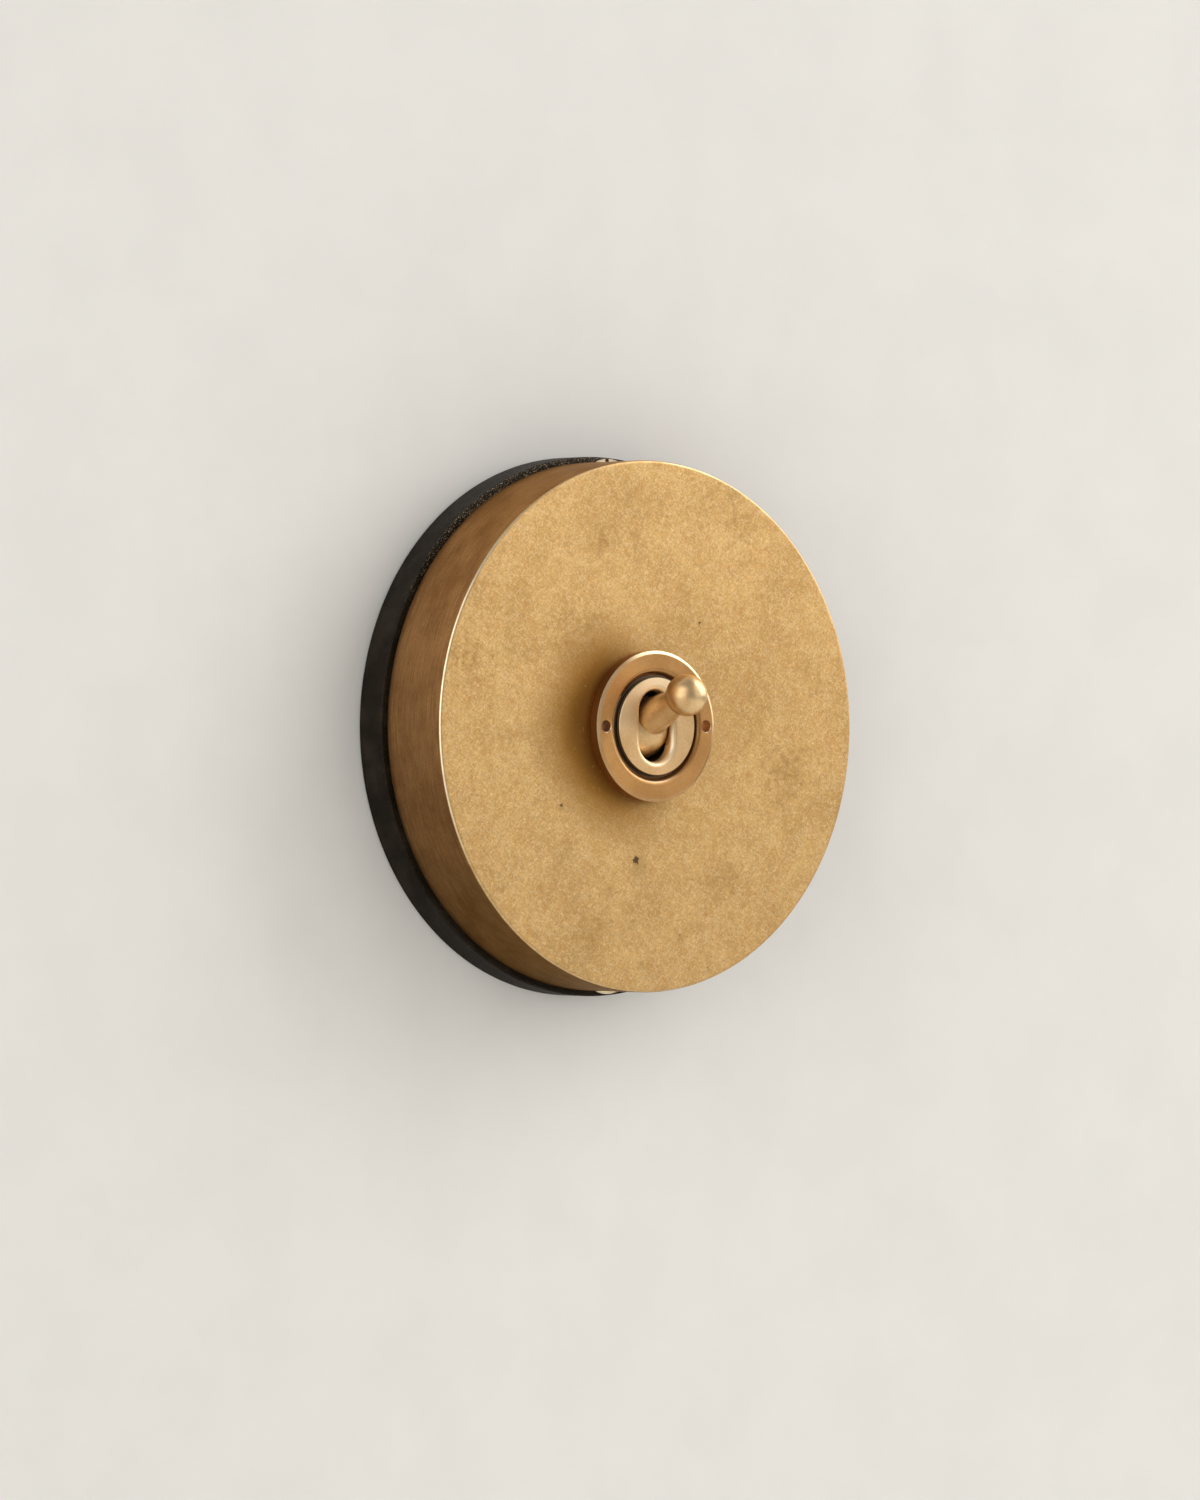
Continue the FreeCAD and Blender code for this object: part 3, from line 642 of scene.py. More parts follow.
class ScrewPair(Pattern):
    """Two screws opposite each other round the cover, each with its slot turned its own way."""

    def __init__(self, finish: Material, seat: float, height: float,
                 turns: tuple[float, float]) -> None:
        """Builds the tree.

        Args:
            finish: the screws' material.
            seat: from the axis to the rim of each head.
            height: of the screws above the wall.
            turns: of the top and the bottom slot, in degrees.
        """
        top, bottom = (math.radians(turn) for turn in turns)
        super().__init__("screw_pair", {
            "Seat Radius": seat, "Height": height, "Top Turn": top, "Bottom Turn": bottom,
        }, finish)
        given = self.given
        index = self.add("GeometryNodeInputIndex").outputs[0]
        spin = self.times(index, math.pi)
        across = self.times(self.math("COSINE", spin), given["Seat Radius"])
        points = self.add("GeometryNodePoints", {
            "Count": len(turns), "Position": self.vector(Y=across, Z=given["Height"]),
        })
        copies = self.add("GeometryNodeInstanceOnPoints", {
            "Points": points.outputs[0], "Instance": given["Geometry"],
            "Rotation": self.vector(X=-QUARTER, Z=spin),
        })
        change = self.math("SUBTRACT", given["Bottom Turn"], given["Top Turn"])
        turn = self.math("MULTIPLY_ADD", index, change, given["Top Turn"])
        self.end(self.add("GeometryNodeRotateInstances", {
            "Instances": copies.outputs[0], "Rotation": self.vector(Z=turn),
        }))


# Sub-assemblies, with their sizes in millimetres and degrees


@dataclass(frozen=True)
class Enclosure:
    """Black base, brass cover over it, and the two screws that hold them together."""

    cover_radius: float = 45.0
    cover_wall: float = 1.5
    cover_face: float = 20.8
    cover_inside: float = 19.3
    edge_radius: float = 0.5
    inside_radius: float = 1.2
    rim_height: float = 6.5
    rim_rounding: float = 0.12
    neck_hole: float = 9.05
    base_radius: float = 45.999
    base_height: float = 6.2
    base_edge: float = 0.4
    floor: float = 2.0
    seat_radius: float = 44.3
    seat_gap: float = 0.01
    spigot_radius: float = 43.3
    spigot_inside: float = 41.3
    spigot_top: float = 12.2
    spigot_rounding: float = 0.3
    boss_width: float = 9.0
    boss_inside: float = 36.7
    boss_overlap: float = 0.5
    boss_drop: float = 0.02
    insert_diameter: float = 4.4
    insert_length: float = 4.6
    cable_hole: float = 16.0
    cable_drop: float = 27.35
    wall_screw_spacing: float = 60.3
    wall_screw_hole: float = 4.4
    wall_screw_sink: float = 1.0
    screw_thread: float = 2.5
    screw_head: float = 4.2
    screw_rim: float = 0.06
    screw_dome: float = 0.55
    screw_length: float = 6.0
    screw_tip: float = 0.2
    screw_slot: float = 0.6
    screw_slot_depth: float = 0.7
    screw_height: float = 9.4
    screw_turns: tuple[float, float] = (-39.0, -20.0)
    segments: int = 256
    hole_segments: int = 64
    dome_steps: int = 12

    def on_skirt(self, side: int) -> Matrix:
        """Takes a shape drawn along Z to the top (1) or the bottom (-1) of the skirt."""
        spin = Matrix.Rotation(0.0 if side > 0 else math.pi, 4, "Z")
        out = Matrix.Rotation(-QUARTER, 4, "X")
        return spin @ Matrix.Translation((0, self.cover_radius, self.screw_height)) @ out

    def cover(self) -> Mesh:
        """The cover, with its two countersunk screw holes."""
        skirt_inside = self.cover_radius - self.cover_wall
        shell = turned("cover_shell", [
            (self.neck_hole, self.cover_face),
            (self.cover_radius, self.cover_face, self.edge_radius),
            (self.cover_radius, self.rim_height, self.rim_rounding),
            (skirt_inside, self.rim_height, self.rim_rounding),
            (skirt_inside, self.cover_inside, self.inside_radius),
            (self.neck_hole, self.cover_inside),
        ], segments=self.segments)
        shank, head = self.screw_thread / 2, self.screw_head / 2
        through = self.cover_wall + CLEAR
        return carved(shell, [
            countersunk(shank, head, through, self.on_skirt(side), self.hole_segments)
            for side in SIDES
        ])

    def base(self) -> Mesh:
        """The base, with its screw bosses, cable hole and wall screw holes."""
        seat = self.rim_height - self.seat_gap
        body = turned("base_body", [
            (0, 0), (self.base_radius, 0, self.base_edge),
            (self.base_radius, self.base_height, self.base_edge),
            (self.seat_radius, self.base_height), (self.seat_radius, seat),
            (self.spigot_radius, seat),
            (self.spigot_radius, self.spigot_top, self.spigot_rounding),
            (self.spigot_inside, self.spigot_top, self.spigot_rounding),
            (self.spigot_inside, self.floor), (0, self.floor),
        ], closed=False, segments=self.segments)
        half, reach = self.boss_width / 2, self.spigot_inside + self.boss_overlap
        low, top = self.floor - self.boss_overlap, self.spigot_top - self.boss_drop
        body = carved(body, [
            brick((-half, side * self.boss_inside, low), (half, side * reach, top))
            for side in SIDES
        ], Carve.JOIN)
        shank, insert = self.screw_thread / 2, self.insert_diameter / 2
        shoulder = self.spigot_radius - self.cover_radius - self.insert_length
        stations = [(shank, -self.screw_length), (shank, shoulder), (insert, shoulder),
                    (insert, CLEAR)]
        tools = [drill(stations, self.on_skirt(side)) for side in SIDES]
        cable, above = self.cable_hole / 2, self.floor + CLEAR
        entry = Matrix.Translation((0, -self.cable_drop, 0))
        tools.append(drill([(cable, -CLEAR), (cable, above)], entry, self.hole_segments))
        bore = self.wall_screw_hole / 2
        for side in SIDES:
            spot = Matrix.Translation((side * self.wall_screw_spacing / 2, 0, self.floor))
            tools.append(countersunk(bore, bore + self.wall_screw_sink, above, spot))
        return carved(body, tools)

    def screw(self) -> Mesh:
        """One slotted round-topped screw along Z, its head's rim at nought."""
        head, shank = self.screw_head / 2, self.screw_thread / 2
        ball = (head**2 + self.screw_dome**2) / (2 * self.screw_dome)
        rim = QUARTER - math.asin(head / ball)
        dome = arc(ball, QUARTER, rim, self.dome_steps, self.screw_dome - ball)
        mesh = turned("cover_screw", [
            *dome[:-1], (head, 0.0, self.screw_rim), (shank, shank - head),
            (shank, -self.screw_length, self.screw_tip), (0, -self.screw_length),
        ], closed=False, segments=64, hold=0.04)
        half, wide = self.screw_slot / 2, head + CLEAR
        low, high = self.screw_dome - self.screw_slot_depth, self.screw_dome + CLEAR
        return carved(mesh, [brick((-half, -wide, low), (half, wide, high))])

    def build(self, brass: Material, black: Material, screws: Material) -> None:
        """Makes the base, the cover and its screws.

        Args:
            brass: the cover's finish.
            black: the base's finish.
            screws: the screws' finish.
        """
        hang("base_body", self.base(), black, Slot.BLACK_BASE, Body.HOUSING, "base")
        hang("cover_shell", self.cover(), brass, Slot.ANTIQUE_BRASS, Body.HOUSING, "cover")
        pair = ScrewPair(screws, self.cover_radius, self.screw_height, self.screw_turns)
        hang("cover_screw_pair", pair.run(self.screw()), screws, Slot.SCREW_BRASS, Body.HOUSING,
             "cover_screws")


@dataclass(frozen=True)
class Collar:
    """Threaded bush with its slotted disc, and the ring nut that clamps the cover to it."""

    face: float = Enclosure.cover_face
    ring_radius: float = 12.8
    ring_top: float = 22.7
    ring_bevel: float = 0.3
    ring_bevel_width: float = 0.55
    ring_edge: float = 0.08
    ring_rounding: float = 0.9
    bore: float = Enclosure.neck_hole
    pin_hole: float = 1.95
    pin_depth: float = 1.6
    pin_bevel: float = 0.15
    pin_pitch: float = 10.925
    nose_top: float = 22.8
    nose_radius: float = 8.3
    nose_bevel: float = 0.15
    nose_step: float = 0.8
    nose_thickness: float = 2.0
    thread_radius: float = 9.0
    thread_depth: float = 0.28
    thread_turns: float = 3.6
    thread_foot: float = 0.5      # from the flange to the first turn
    thread_head: float = 0.3      # from the last turn to the disc's step
    thread_sides: int = 4
    slot_width: float = 7.0
    slot_length: float = 12.09
    slot_rounding: float = 1.0
    ball_bore: float = 13.0
    flange_radius: float = 13.5
    flange_bottom: float = 15.3
    flange_top: float = 18.7
    flange_rounding: float = 0.2
    flange_screw: float = 2.5
    flange_head: float = 4.0
    flange_screw_radius: float = 11.25
    flange_screw_angles: tuple[float, float] = (45.0, 225.0)
    pin_diameter: float = 2.0
    support: float = 0.05         # from an edge of the bush to the loop that keeps it crisp
    segments: int = 192
    lip_steps: int = 10

    def ring(self) -> Mesh:
        """The ring nut, with its two spanner holes."""
        mesh = turned("ring_collar", [
            (self.bore, self.face), (self.ring_radius, self.face),
            (self.ring_radius, self.ring_top - self.ring_bevel, self.ring_edge),
            (self.ring_radius - self.ring_bevel_width, self.ring_top, self.ring_edge),
            (self.bore, self.ring_top, self.ring_rounding),
        ], segments=self.segments, steps=10, stride=1.2, hold=0.06)
        hole = self.pin_hole / 2
        mouth = hole + self.pin_bevel
        spots = (Matrix.Translation((side * self.pin_pitch, 0, self.ring_top)) for side in SIDES)
        return carved(mesh, [countersunk(hole, mouth, self.pin_depth, spot) for spot in spots])

    def slot(self, grow: float, height: float) -> Loop:
        """A loop with straight sides and round ends, made wider all round.

        Args:
            grow: how far it stands out from the slot's sides.
            height: above the wall.

        Returns:
            The loop, one point for each direction from the middle.
        """
        half = self.slot_width / 2 + grow
        straight = (self.slot_length - self.slot_width) / 2
        loop = circle(1.0, height, self.segments)
        for point in loop:
            across, up = abs(point.x), abs(point.y)
            reach = half / across if across > POINT else math.inf
            if reach * up > straight:
                reach = up * straight + math.sqrt(half**2 - (across * straight) ** 2)
            point.xy *= reach
        return loop

    def bush(self) -> Mesh:
        """The bush: slotted disc, plain core under the thread, flange and bore."""
        top, under = self.nose_top, self.nose_top - self.nose_thickness
        step, core = top - self.nose_step, self.thread_radius - self.thread_depth
        path = rounded_path([
            (self.nose_radius - self.nose_bevel, top), (self.nose_radius, top - self.nose_bevel),
            (self.nose_radius, step), (core, step), (core, self.flange_top),
            (self.flange_radius, self.flange_top, self.flange_rounding),
            (self.flange_radius, self.flange_bottom, self.flange_rounding),
            (self.ball_bore / 2, self.flange_bottom), (self.ball_bore / 2, under),
        ], closed=False, steps=6, stride=1.5, hold=self.support)
        loops = [circle(p.x, p.y, self.segments) for p in path]
        low, rounding = top - self.slot_rounding, self.slot_rounding
        heights = (under, under + 2 * self.support, low - self.support, low)
        loops.extend(self.slot(0.0, height) for height in heights)
        lip = arc(rounding, math.pi, QUARTER, self.lip_steps, low)
        loops.extend(self.slot(rounding + out, height) for out, height in lip[1:])
        loops.append(self.slot(rounding + self.support, top))
        mesh = skinned("slotted_bush", loops, closed=True)
        shank, head = self.flange_screw / 2, self.flange_head / 2
        through = self.flange_top - self.flange_bottom + CLEAR
        out = Matrix.Translation((self.flange_screw_radius, 0, self.flange_top))
        turns = (Matrix.Rotation(math.radians(a), 4, "Z") for a in self.flange_screw_angles)
        tools = [countersunk(shank, head, through, turn @ out) for turn in turns]
        pivot = Matrix.Translation((0, 0, (self.flange_bottom + self.flange_top) / 2))
        pin, reach = self.pin_diameter / 2, self.flange_radius + CLEAR
        across = pivot @ Matrix.Rotation(QUARTER, 4, "Y")
        tools.append(drill([(pin, -reach), (pin, reach)], across))
        return carved(mesh, tools)

    def thread(self, finish: Material) -> Mesh:
        """The thread's ridge, wound on the bush's core."""
        start = self.flange_top + self.thread_foot
        length = self.nose_top - self.nose_step - self.thread_head - start
        core = self.thread_radius - self.thread_depth
        return Winding("bush_thread", finish, self.thread_turns, core, length, self.thread_depth,
                       self.thread_sides, start).run()

    def build(self, ring: Material, disc: Material) -> None:
        """Makes the ring nut, the bush and its thread.

        Args:
            ring: the ring nut's finish.
            disc: the bush's finish.
        """
        hang("ring_collar", self.ring(), ring, Slot.SATIN_BRASS, Body.HOUSING, "ring_nut")
        hang("slotted_bush", self.bush(), disc, Slot.SATIN_BRASS, Body.HOUSING, "bush")
        hang("bush_thread", self.thread(disc), disc, Slot.SATIN_BRASS, Body.HOUSING)


@dataclass(frozen=True)
class Dolly:
    """The lever: knob, tapered shank, flat-sided pivot ball and hollow tail, with its spring."""

    pivot: float = 17.0
    lean: float = 21.0
    reach: float = 14.5
    knob: float = 7.088
    neck: float = 4.2
    ball: float = 11.4
    ball_width: float = 6.6
    shank_inset: float = 0.05
    tail: float = 4.8
    tail_length: float = 6.523
    tail_bevel: float = 0.4
    pin: float = 2.1
    bore: float = 2.7
    bore_end: float = 1.7
    spring_back: float = 4.323
    spring_wire: float = 0.35
    spring_turns: float = 3.0
    spring_sides: int = 12
    plunger: float = 2.6
    plunger_travel: float = 0.8
    fit: float = 0.05
    segments: int = 128
    ball_steps: int = 40
    knob_steps: int = 48

    def tipped(self) -> Matrix:
        """Takes a piece drawn along Z from the pivot to where it lies with the dolly up."""
        lean = Matrix.Rotation(math.radians(-self.lean), 4, "X")
        return Matrix.Translation((0, 0, self.pivot)) @ lean

    def outline(self) -> list[Corner]:
        """The turned outline, from the end of the tail to the crown of the knob."""
        ball, knob, neck, tail = self.ball / 2, self.knob / 2, self.neck / 2, self.tail / 2
        shank = self.ball_width / 2 - self.shank_inset
        return [
            (0, -self.tail_length), (tail - self.tail_bevel, -self.tail_length),
            (tail, self.tail_bevel - self.tail_length),
            *arc(ball, -math.acos(tail / ball), math.acos(shank / ball), self.ball_steps),
            *arc(knob, -math.acos(neck / knob), QUARTER, self.knob_steps, self.reach),
        ]

    def lever(self) -> Mesh:
        """The dolly itself."""
        mesh = turned("dolly_lever", self.outline(), closed=False, segments=self.segments,
                      stride=0.8, hold=0.04)
        ball, half, pin, bore = self.ball / 2, self.ball_width / 2, self.pin / 2, self.bore / 2
        tools = [brick((side * half, -ball, -ball), (side * (ball + CLEAR), ball, ball))
                 for side in SIDES]
        tools.append(drill([(pin, -ball), (pin, ball)], Matrix.Rotation(QUARTER, 4, "Y")))
        mouth = -self.tail_length - CLEAR
        tools.append(drill([(bore, mouth), (bore, -self.bore_end)], Matrix()))
        mesh = carved(mesh, tools)
        mesh.transform(self.tipped())
        return mesh

    def spring(self, finish: Material) -> Mesh:
        """The coil between the end of the bore and the plunger."""
        wire = self.spring_wire / 2
        radius = self.plunger / 2 - wire - self.fit
        length = self.spring_back - self.bore_end - self.spring_wire
        mesh = Winding("spring_coil", finish, self.spring_turns, radius, length, wire,
                       self.spring_sides, wire - self.spring_back).run()
        mesh.transform(self.tipped())
        return mesh

    def build(self, brass: Material, steel: Material) -> None:
        """Makes the lever and its spring.

        Args:
            brass: the lever's finish.
            steel: the spring's finish.
        """
        hang("dolly_lever", self.lever(), brass, Slot.SATIN_BRASS, Body.LEVER, "dolly")
        coil = hang("spring_coil", self.spring(steel), steel, Slot.BRIGHT_STEEL, Body.LEVER,
                    "plunger_spring")
        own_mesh(coil)


@dataclass(frozen=True)
class Works:
    """The pieces inside the cover, which keep their CAD shapes and get finishes here."""

    finishes: dict[Slot, Material]

    def build(self) -> None:
        """Dresses every CAD node that still shows."""
        slots = {part["node"]: part["material_slot"] for part in frame["record"]["subparts"]}
        for name, node in frame["nodes"].items():
            if node.hide_render:
                continue
            node.data.materials.clear()
            node.data.materials.append(self.finishes[Slot(slots[name])])
            log.info("%s: dressed as %s", name, slots[name])


# Finishes, with places in millimetres as the front is seen: right, up, and height above the wall


class Finish(ABC):
    """A procedural finish."""

    def build(self, name: str) -> Material:
        """Makes the finish's material."""
        shader = Shader(name)
        self.paint(shader)
        return shader.material

    @abstractmethod
    def paint(self, s: Shader) -> None:
        """Sets the surface's colour, gloss and relief."""


@dataclass(frozen=True)
class Patches:
    """Patches of one colour over another, where a noise pattern passes a level."""

    colour: Colour
    scale: float                  # features in a millimetre
    low: float                    # the pattern's level where they begin
    high: float                   # the level where they are full
    most: float = 1.0             # how much they cover there
    detail: float = 4.0
    rough: float = 0.75

    def over(self, s: Shader, colour: object) -> Socket:
        """The colour with the patches on it."""
        pattern = s.noise(self.scale, self.detail, rough=self.rough)
        return s.mix(s.band(pattern, self.low, self.high, most=self.most), colour, self.colour)


@dataclass(frozen=True)
class AntiqueBrass(Finish):
    """Aged brass of the cover: cloudy face with painted shadow round the ring, brushed skirt with
    painted shade low down, and a rubbed front edge with painted highlights.
    """

    gold: Colour = (0.65, 0.420, 0.170)
    amber: Colour = (0.57, 0.350, 0.134)
    umber: Colour = (0.44, 0.262, 0.090)
    olive: Colour = (0.42, 0.285, 0.100)
    rust: Colour = (0.56, 0.290, 0.095)
    straw: Colour = (0.78, 0.600, 0.355)
    brown: Colour = (0.40, 0.212, 0.086)
    dark_brown: Colour = (0.30, 0.148, 0.057)
    # Painted shadow of the ring on the face, mixed with patina: a wide shade and a darker contact
    # shadow
    ring_shade: Colour = (0.25, 0.106, 0.010)
    ring_contact_shadow: Colour = (0.17, 0.076, 0.018)
    smudge: Colour = (0.36, 0.200, 0.062)
    pit: Colour = (0.075, 0.045, 0.028)
    # The rubbed edge's pale colour, also used as a painted highlight where light catches edges
    rubbed_highlight: Colour = (0.96, 0.82, 0.58)
    sheen: Colour = (0.74, 0.60, 0.46)      # seen at a low angle
    clouds: tuple[Patches, ...] = (
        Patches(amber, 0.24, 0.34, 0.70, detail=6.0, rough=0.72),
        Patches(umber, 0.055, 0.44, 0.72, 0.55, rough=0.55),
        Patches(olive, 0.11, 0.56, 0.74, 0.35, 5.0, 0.70),
        Patches(rust, 1.15, 0.52, 0.72, 0.42),
        Patches(straw, 1.45, 0.54, 0.72, 0.42),
        Patches(rust, 0.42, 0.57, 0.66, 0.50, 6.0, 0.72),
    )
    grains: tuple[Patches, ...] = (
        Patches(straw, 2.6, 0.50, 0.74, 0.38, rough=0.8),
        Patches(rust, 2.6, 0.50, 0.26, 0.34, rough=0.8),
    )
    specks: Patches = Patches(smudge, 1.7, 0.68, 0.78, 0.50, 1.0, 0.4)
    skirt_patches: Patches = Patches(dark_brown, 0.12, 0.35, 0.70, rough=0.6)
    # Painted ring shadow with patina: colour, reach past the ring, reach where they are full,
    # share there
    ring_shadow_stains: tuple[tuple[Colour, float, float, float], ...] = (
        (ring_shade, 12.0, 1.0, 0.95), (ring_contact_shadow, 5.0, 0.8, 0.80),
    )
    # Single marks on the face: right, up, size
    nicks: tuple[Corner, ...] = (
        (-3.0, -22.6, 0.80), (-19.2, -13.2, 0.30), (11.0, 17.6, 0.16), (12.9, -41.0, 0.18),
    )
    smudges: tuple[Corner, ...] = (
        (-10.1, 31.4, 3.2), (20.9, 33.7, 4.0), (16.4, -26.4, 5.0), (-12.4, -34.6, 4.2),
        (6.9, -35.8, 1.1), (-32.0, -27.3, 0.9), (-39.6, 11.7, 6.0), (-16.0, 16.4, 6.0),
        (31.0, -8.0, 7.0),
    )
    scuff_turns: tuple[float, ...] = (0.6, -0.9)
    # Heights where the skirt's colour starts, and where it is full
    skirt_start: float = Enclosure.cover_face - 0.12
    skirt_full: float = Enclosure.cover_face - 0.42
    # Radius and height together: where the front edge starts to round, and from there to where
    # it starts to be rubbed and painted bright as a highlight, and where that is strongest
    edge: float = Enclosure.cover_radius + Enclosure.cover_face - Enclosure.edge_radius
    rub_lit_start: float = 0.14
    rub_lit_full: float = 0.20

    def paint(self, s: Shader) -> None:
        """Paints the face and the skirt, and rubs the edge between them, with painted highlights
        on it.
        """
        height = s.height()
        grain = s.noise(2.6, 4.0, rough=0.8)
        mottle = s.noise(0.24, 6.0, rough=0.72)
        streaks = s.noise(1.0, 4.0, s.stretched((0.16, 5.0, 0.16)), 0.7)
        face = self.marked(s, self.stained_and_shadowed(s, self.clouded(s, grain), mottle))
        # The skirt's brown, streaks and grain, with painted shade that darkens it towards the
        # bottom
        skirt = s.shaded(
            self.skirt_patches.over(s, self.brown), s.band(streaks, 0.25, 0.75, 0.70, 1.30),
            s.band(grain, 0.25, 0.75, 0.84, 1.16), s.band(s.along(0, 1), -44.0, 20.0, 0.42, 1.0),
        )
        on_skirt = s.band(height, self.skirt_start, self.skirt_full)
        corner = s.math("ADD", s.radius(), height)
        # Rubbed front edge: partly real wear, partly a painted highlight at the left and upper
        # right
        bright = s.times(
            s.band(corner, self.edge + self.rub_lit_start, self.edge + self.rub_lit_full),
            s.band(s.noise(0.35), 0.30, 0.62, 0.65, 1.0), self.rubbed_highlight_places(s),
        )
        colour = s.mix(bright, s.mix(on_skirt, face, skirt), self.rubbed_highlight)
        s.set(Base_Color=colour, Metallic=1.0, Specular_Tint=opaque(self.sheen))
        rough = s.math("MULTIPLY_ADD", on_skirt, -0.06, s.band(mottle, 0.3, 0.7, 0.44, 0.54))
        s.set(Roughness=s.math("MULTIPLY_ADD", bright, -0.18, rough))
        s.bump(grain, 0.006, 0.5)
        s.bump(streaks, 0.006, s.times(on_skirt, 0.7))

    def clouded(self, s: Shader, grain: Socket) -> Socket:
        """The face's cloudy colour, with pale veins, grain, fine rubbing marks and painted light
        from above.

        Args:
            s: the material.
            grain: the metal's fine pattern.

        Returns:
            The colour.
        """
        face: object = self.gold
        for patches in self.clouds:
            face = patches.over(s, face)
        veins = s.math("ABSOLUTE", s.sway(0.50, 5.0, 0.65))
        face = s.mix(s.band(veins, 0.030, 0.006, most=0.36), face, self.straw)
        for patches in self.grains:
            face = patches.over(s, face)
        tones = [s.band(grain, 0.22, 0.78, 0.84, 1.14)]
        for turn in self.scuff_turns:
            inputs = {"Vector": s.place, "Rotation": (0, turn, 0), "Scale": (1.3, 1.0, 0.2)}
            lines = s.add("ShaderNodeMapping", inputs, vector_type="TEXTURE").outputs[0]
            tones.append(s.band(s.noise(1.0, 3.0, lines, 0.6), 0.25, 0.75, 0.91, 1.09))
        # Painted light: the face is lighter towards the top and darker towards the bottom
        tones.append(s.band(s.along(-0.25, 1.0), -50.0, 50.0, 0.95, 1.05))
        return s.shaded(face, *tones)

    def stained_and_shadowed(self, s: Shader, face: Socket, mottle: Socket) -> Socket:
        """Paints the ring's shadow, with patina, on the face round the ring, most at its lower
        left.

        Args:
            s: the material.
            face: the face's colour.
            mottle: a pattern that makes the stain uneven.

        Returns:
            The colour with the painted shadow and patina.
        """
        reach = s.math("MULTIPLY_ADD", mottle, 3.0, s.radius(0.82))
        # The painted shadow falls most to the lower left, away from the light
        shadow_side = s.band(s.along(7.2, 1.0), 24.0, -84.0, 0.10, 1.0)
        for colour, far, near, most in self.ring_shadow_stains:
            far, near = far + Collar.ring_radius, near + Collar.ring_radius
            face = s.mix(s.times(s.band(reach, far, near, most=most), shadow_side), face, colour)
        return face

    def marked(self, s: Shader, face: Socket) -> Socket:
        """Adds brown smudges, small dark nicks with an olive halo, and fine specks.

        Args:
            s: the material.
            face: the face's colour.

        Returns:
            The marked colour.
        """
        height = Enclosure.cover_face
        cloudy = s.sway(0.55, 5.0, 0.75)
        broken = s.band(s.noise(0.85, 5.0, rough=0.75), 0.40, 0.62, 0.15, 1.0)
        for x, z, size in self.smudges:
            reach = s.away((x, -height, z), s.times(cloudy, 3.4 * size))
            spot = s.times(s.band(reach, 1.1 * size, 0.1 * size, most=0.60), broken)
            face = s.mix(spot, face, self.smudge)
        wobble = s.times(s.sway(2.4, 2.0, 0.55), 1.6)
        for x, z, size in self.nicks:
            halo = s.away((x + size, -height, z - size), wobble)
            face = s.mix(s.band(halo, 3.4 * size, 0.4 * size, most=0.55), face, self.olive)
            nick = s.away((x, -height, z), wobble)
            face = s.mix(s.band(nick, size, 0.55 * size, most=0.9), face, self.pit)
        return self.specks.over(s, face)

    @staticmethod
    def rubbed_highlight_places(s: Shader) -> Socket:
        """How much of the front edge is rubbed and painted bright: painted highlights, most at the
        left and the upper right.
        """
        left = s.band(s.along(1.0, -0.22), -32.0, -43.0, most=0.80)
        upper_right = s.band(s.along(0.57, 0.82), 35.0, 43.0, most=0.80)
        return s.math("ADD", s.math("MAXIMUM", left, upper_right), 0.20)


@dataclass(frozen=True)
class SatinBrass(Finish):
    """Turned brass with a satin surface, faint turning marks and light tarnish."""

    light: Colour
    dark: Colour
    rough: float = 0.34
    turning: float = 1.0          # how much the turning marks show

    def paint(self, s: Shader) -> None:
        """Paints the tarnish, the grain and the turning marks, and then the wear."""
        tarnish = s.noise(0.25, 4.0, rough=0.6)
        grain = s.noise(2.6, rough=0.7)
        marks = s.noise(7.0, 2.0, s.vector(X=s.radius(), Y=s.times(s.height(), -0.3)), 0.6)
        colour = s.shaded(
            s.mix(s.band(tarnish, 0.32, 0.70), self.light, self.dark),
            s.band(grain, 0.2, 0.8, 0.90, 1.08), s.band(marks, 0.2, 0.8, 0.95, 1.05),
        )
        s.set(Base_Color=self.worn(s, colour), Metallic=1.0)
        s.set(Roughness=s.band(tarnish, 0.2, 0.8, self.rough - 0.04, self.rough + 0.08))
        s.bump(marks, 0.003, 0.4 * self.turning)
        s.bump(grain, 0.004, 0.4)

    def worn(self, s: Shader, colour: Socket) -> Socket:
        """The colour with wear and painted light added: here, nothing."""
        return colour


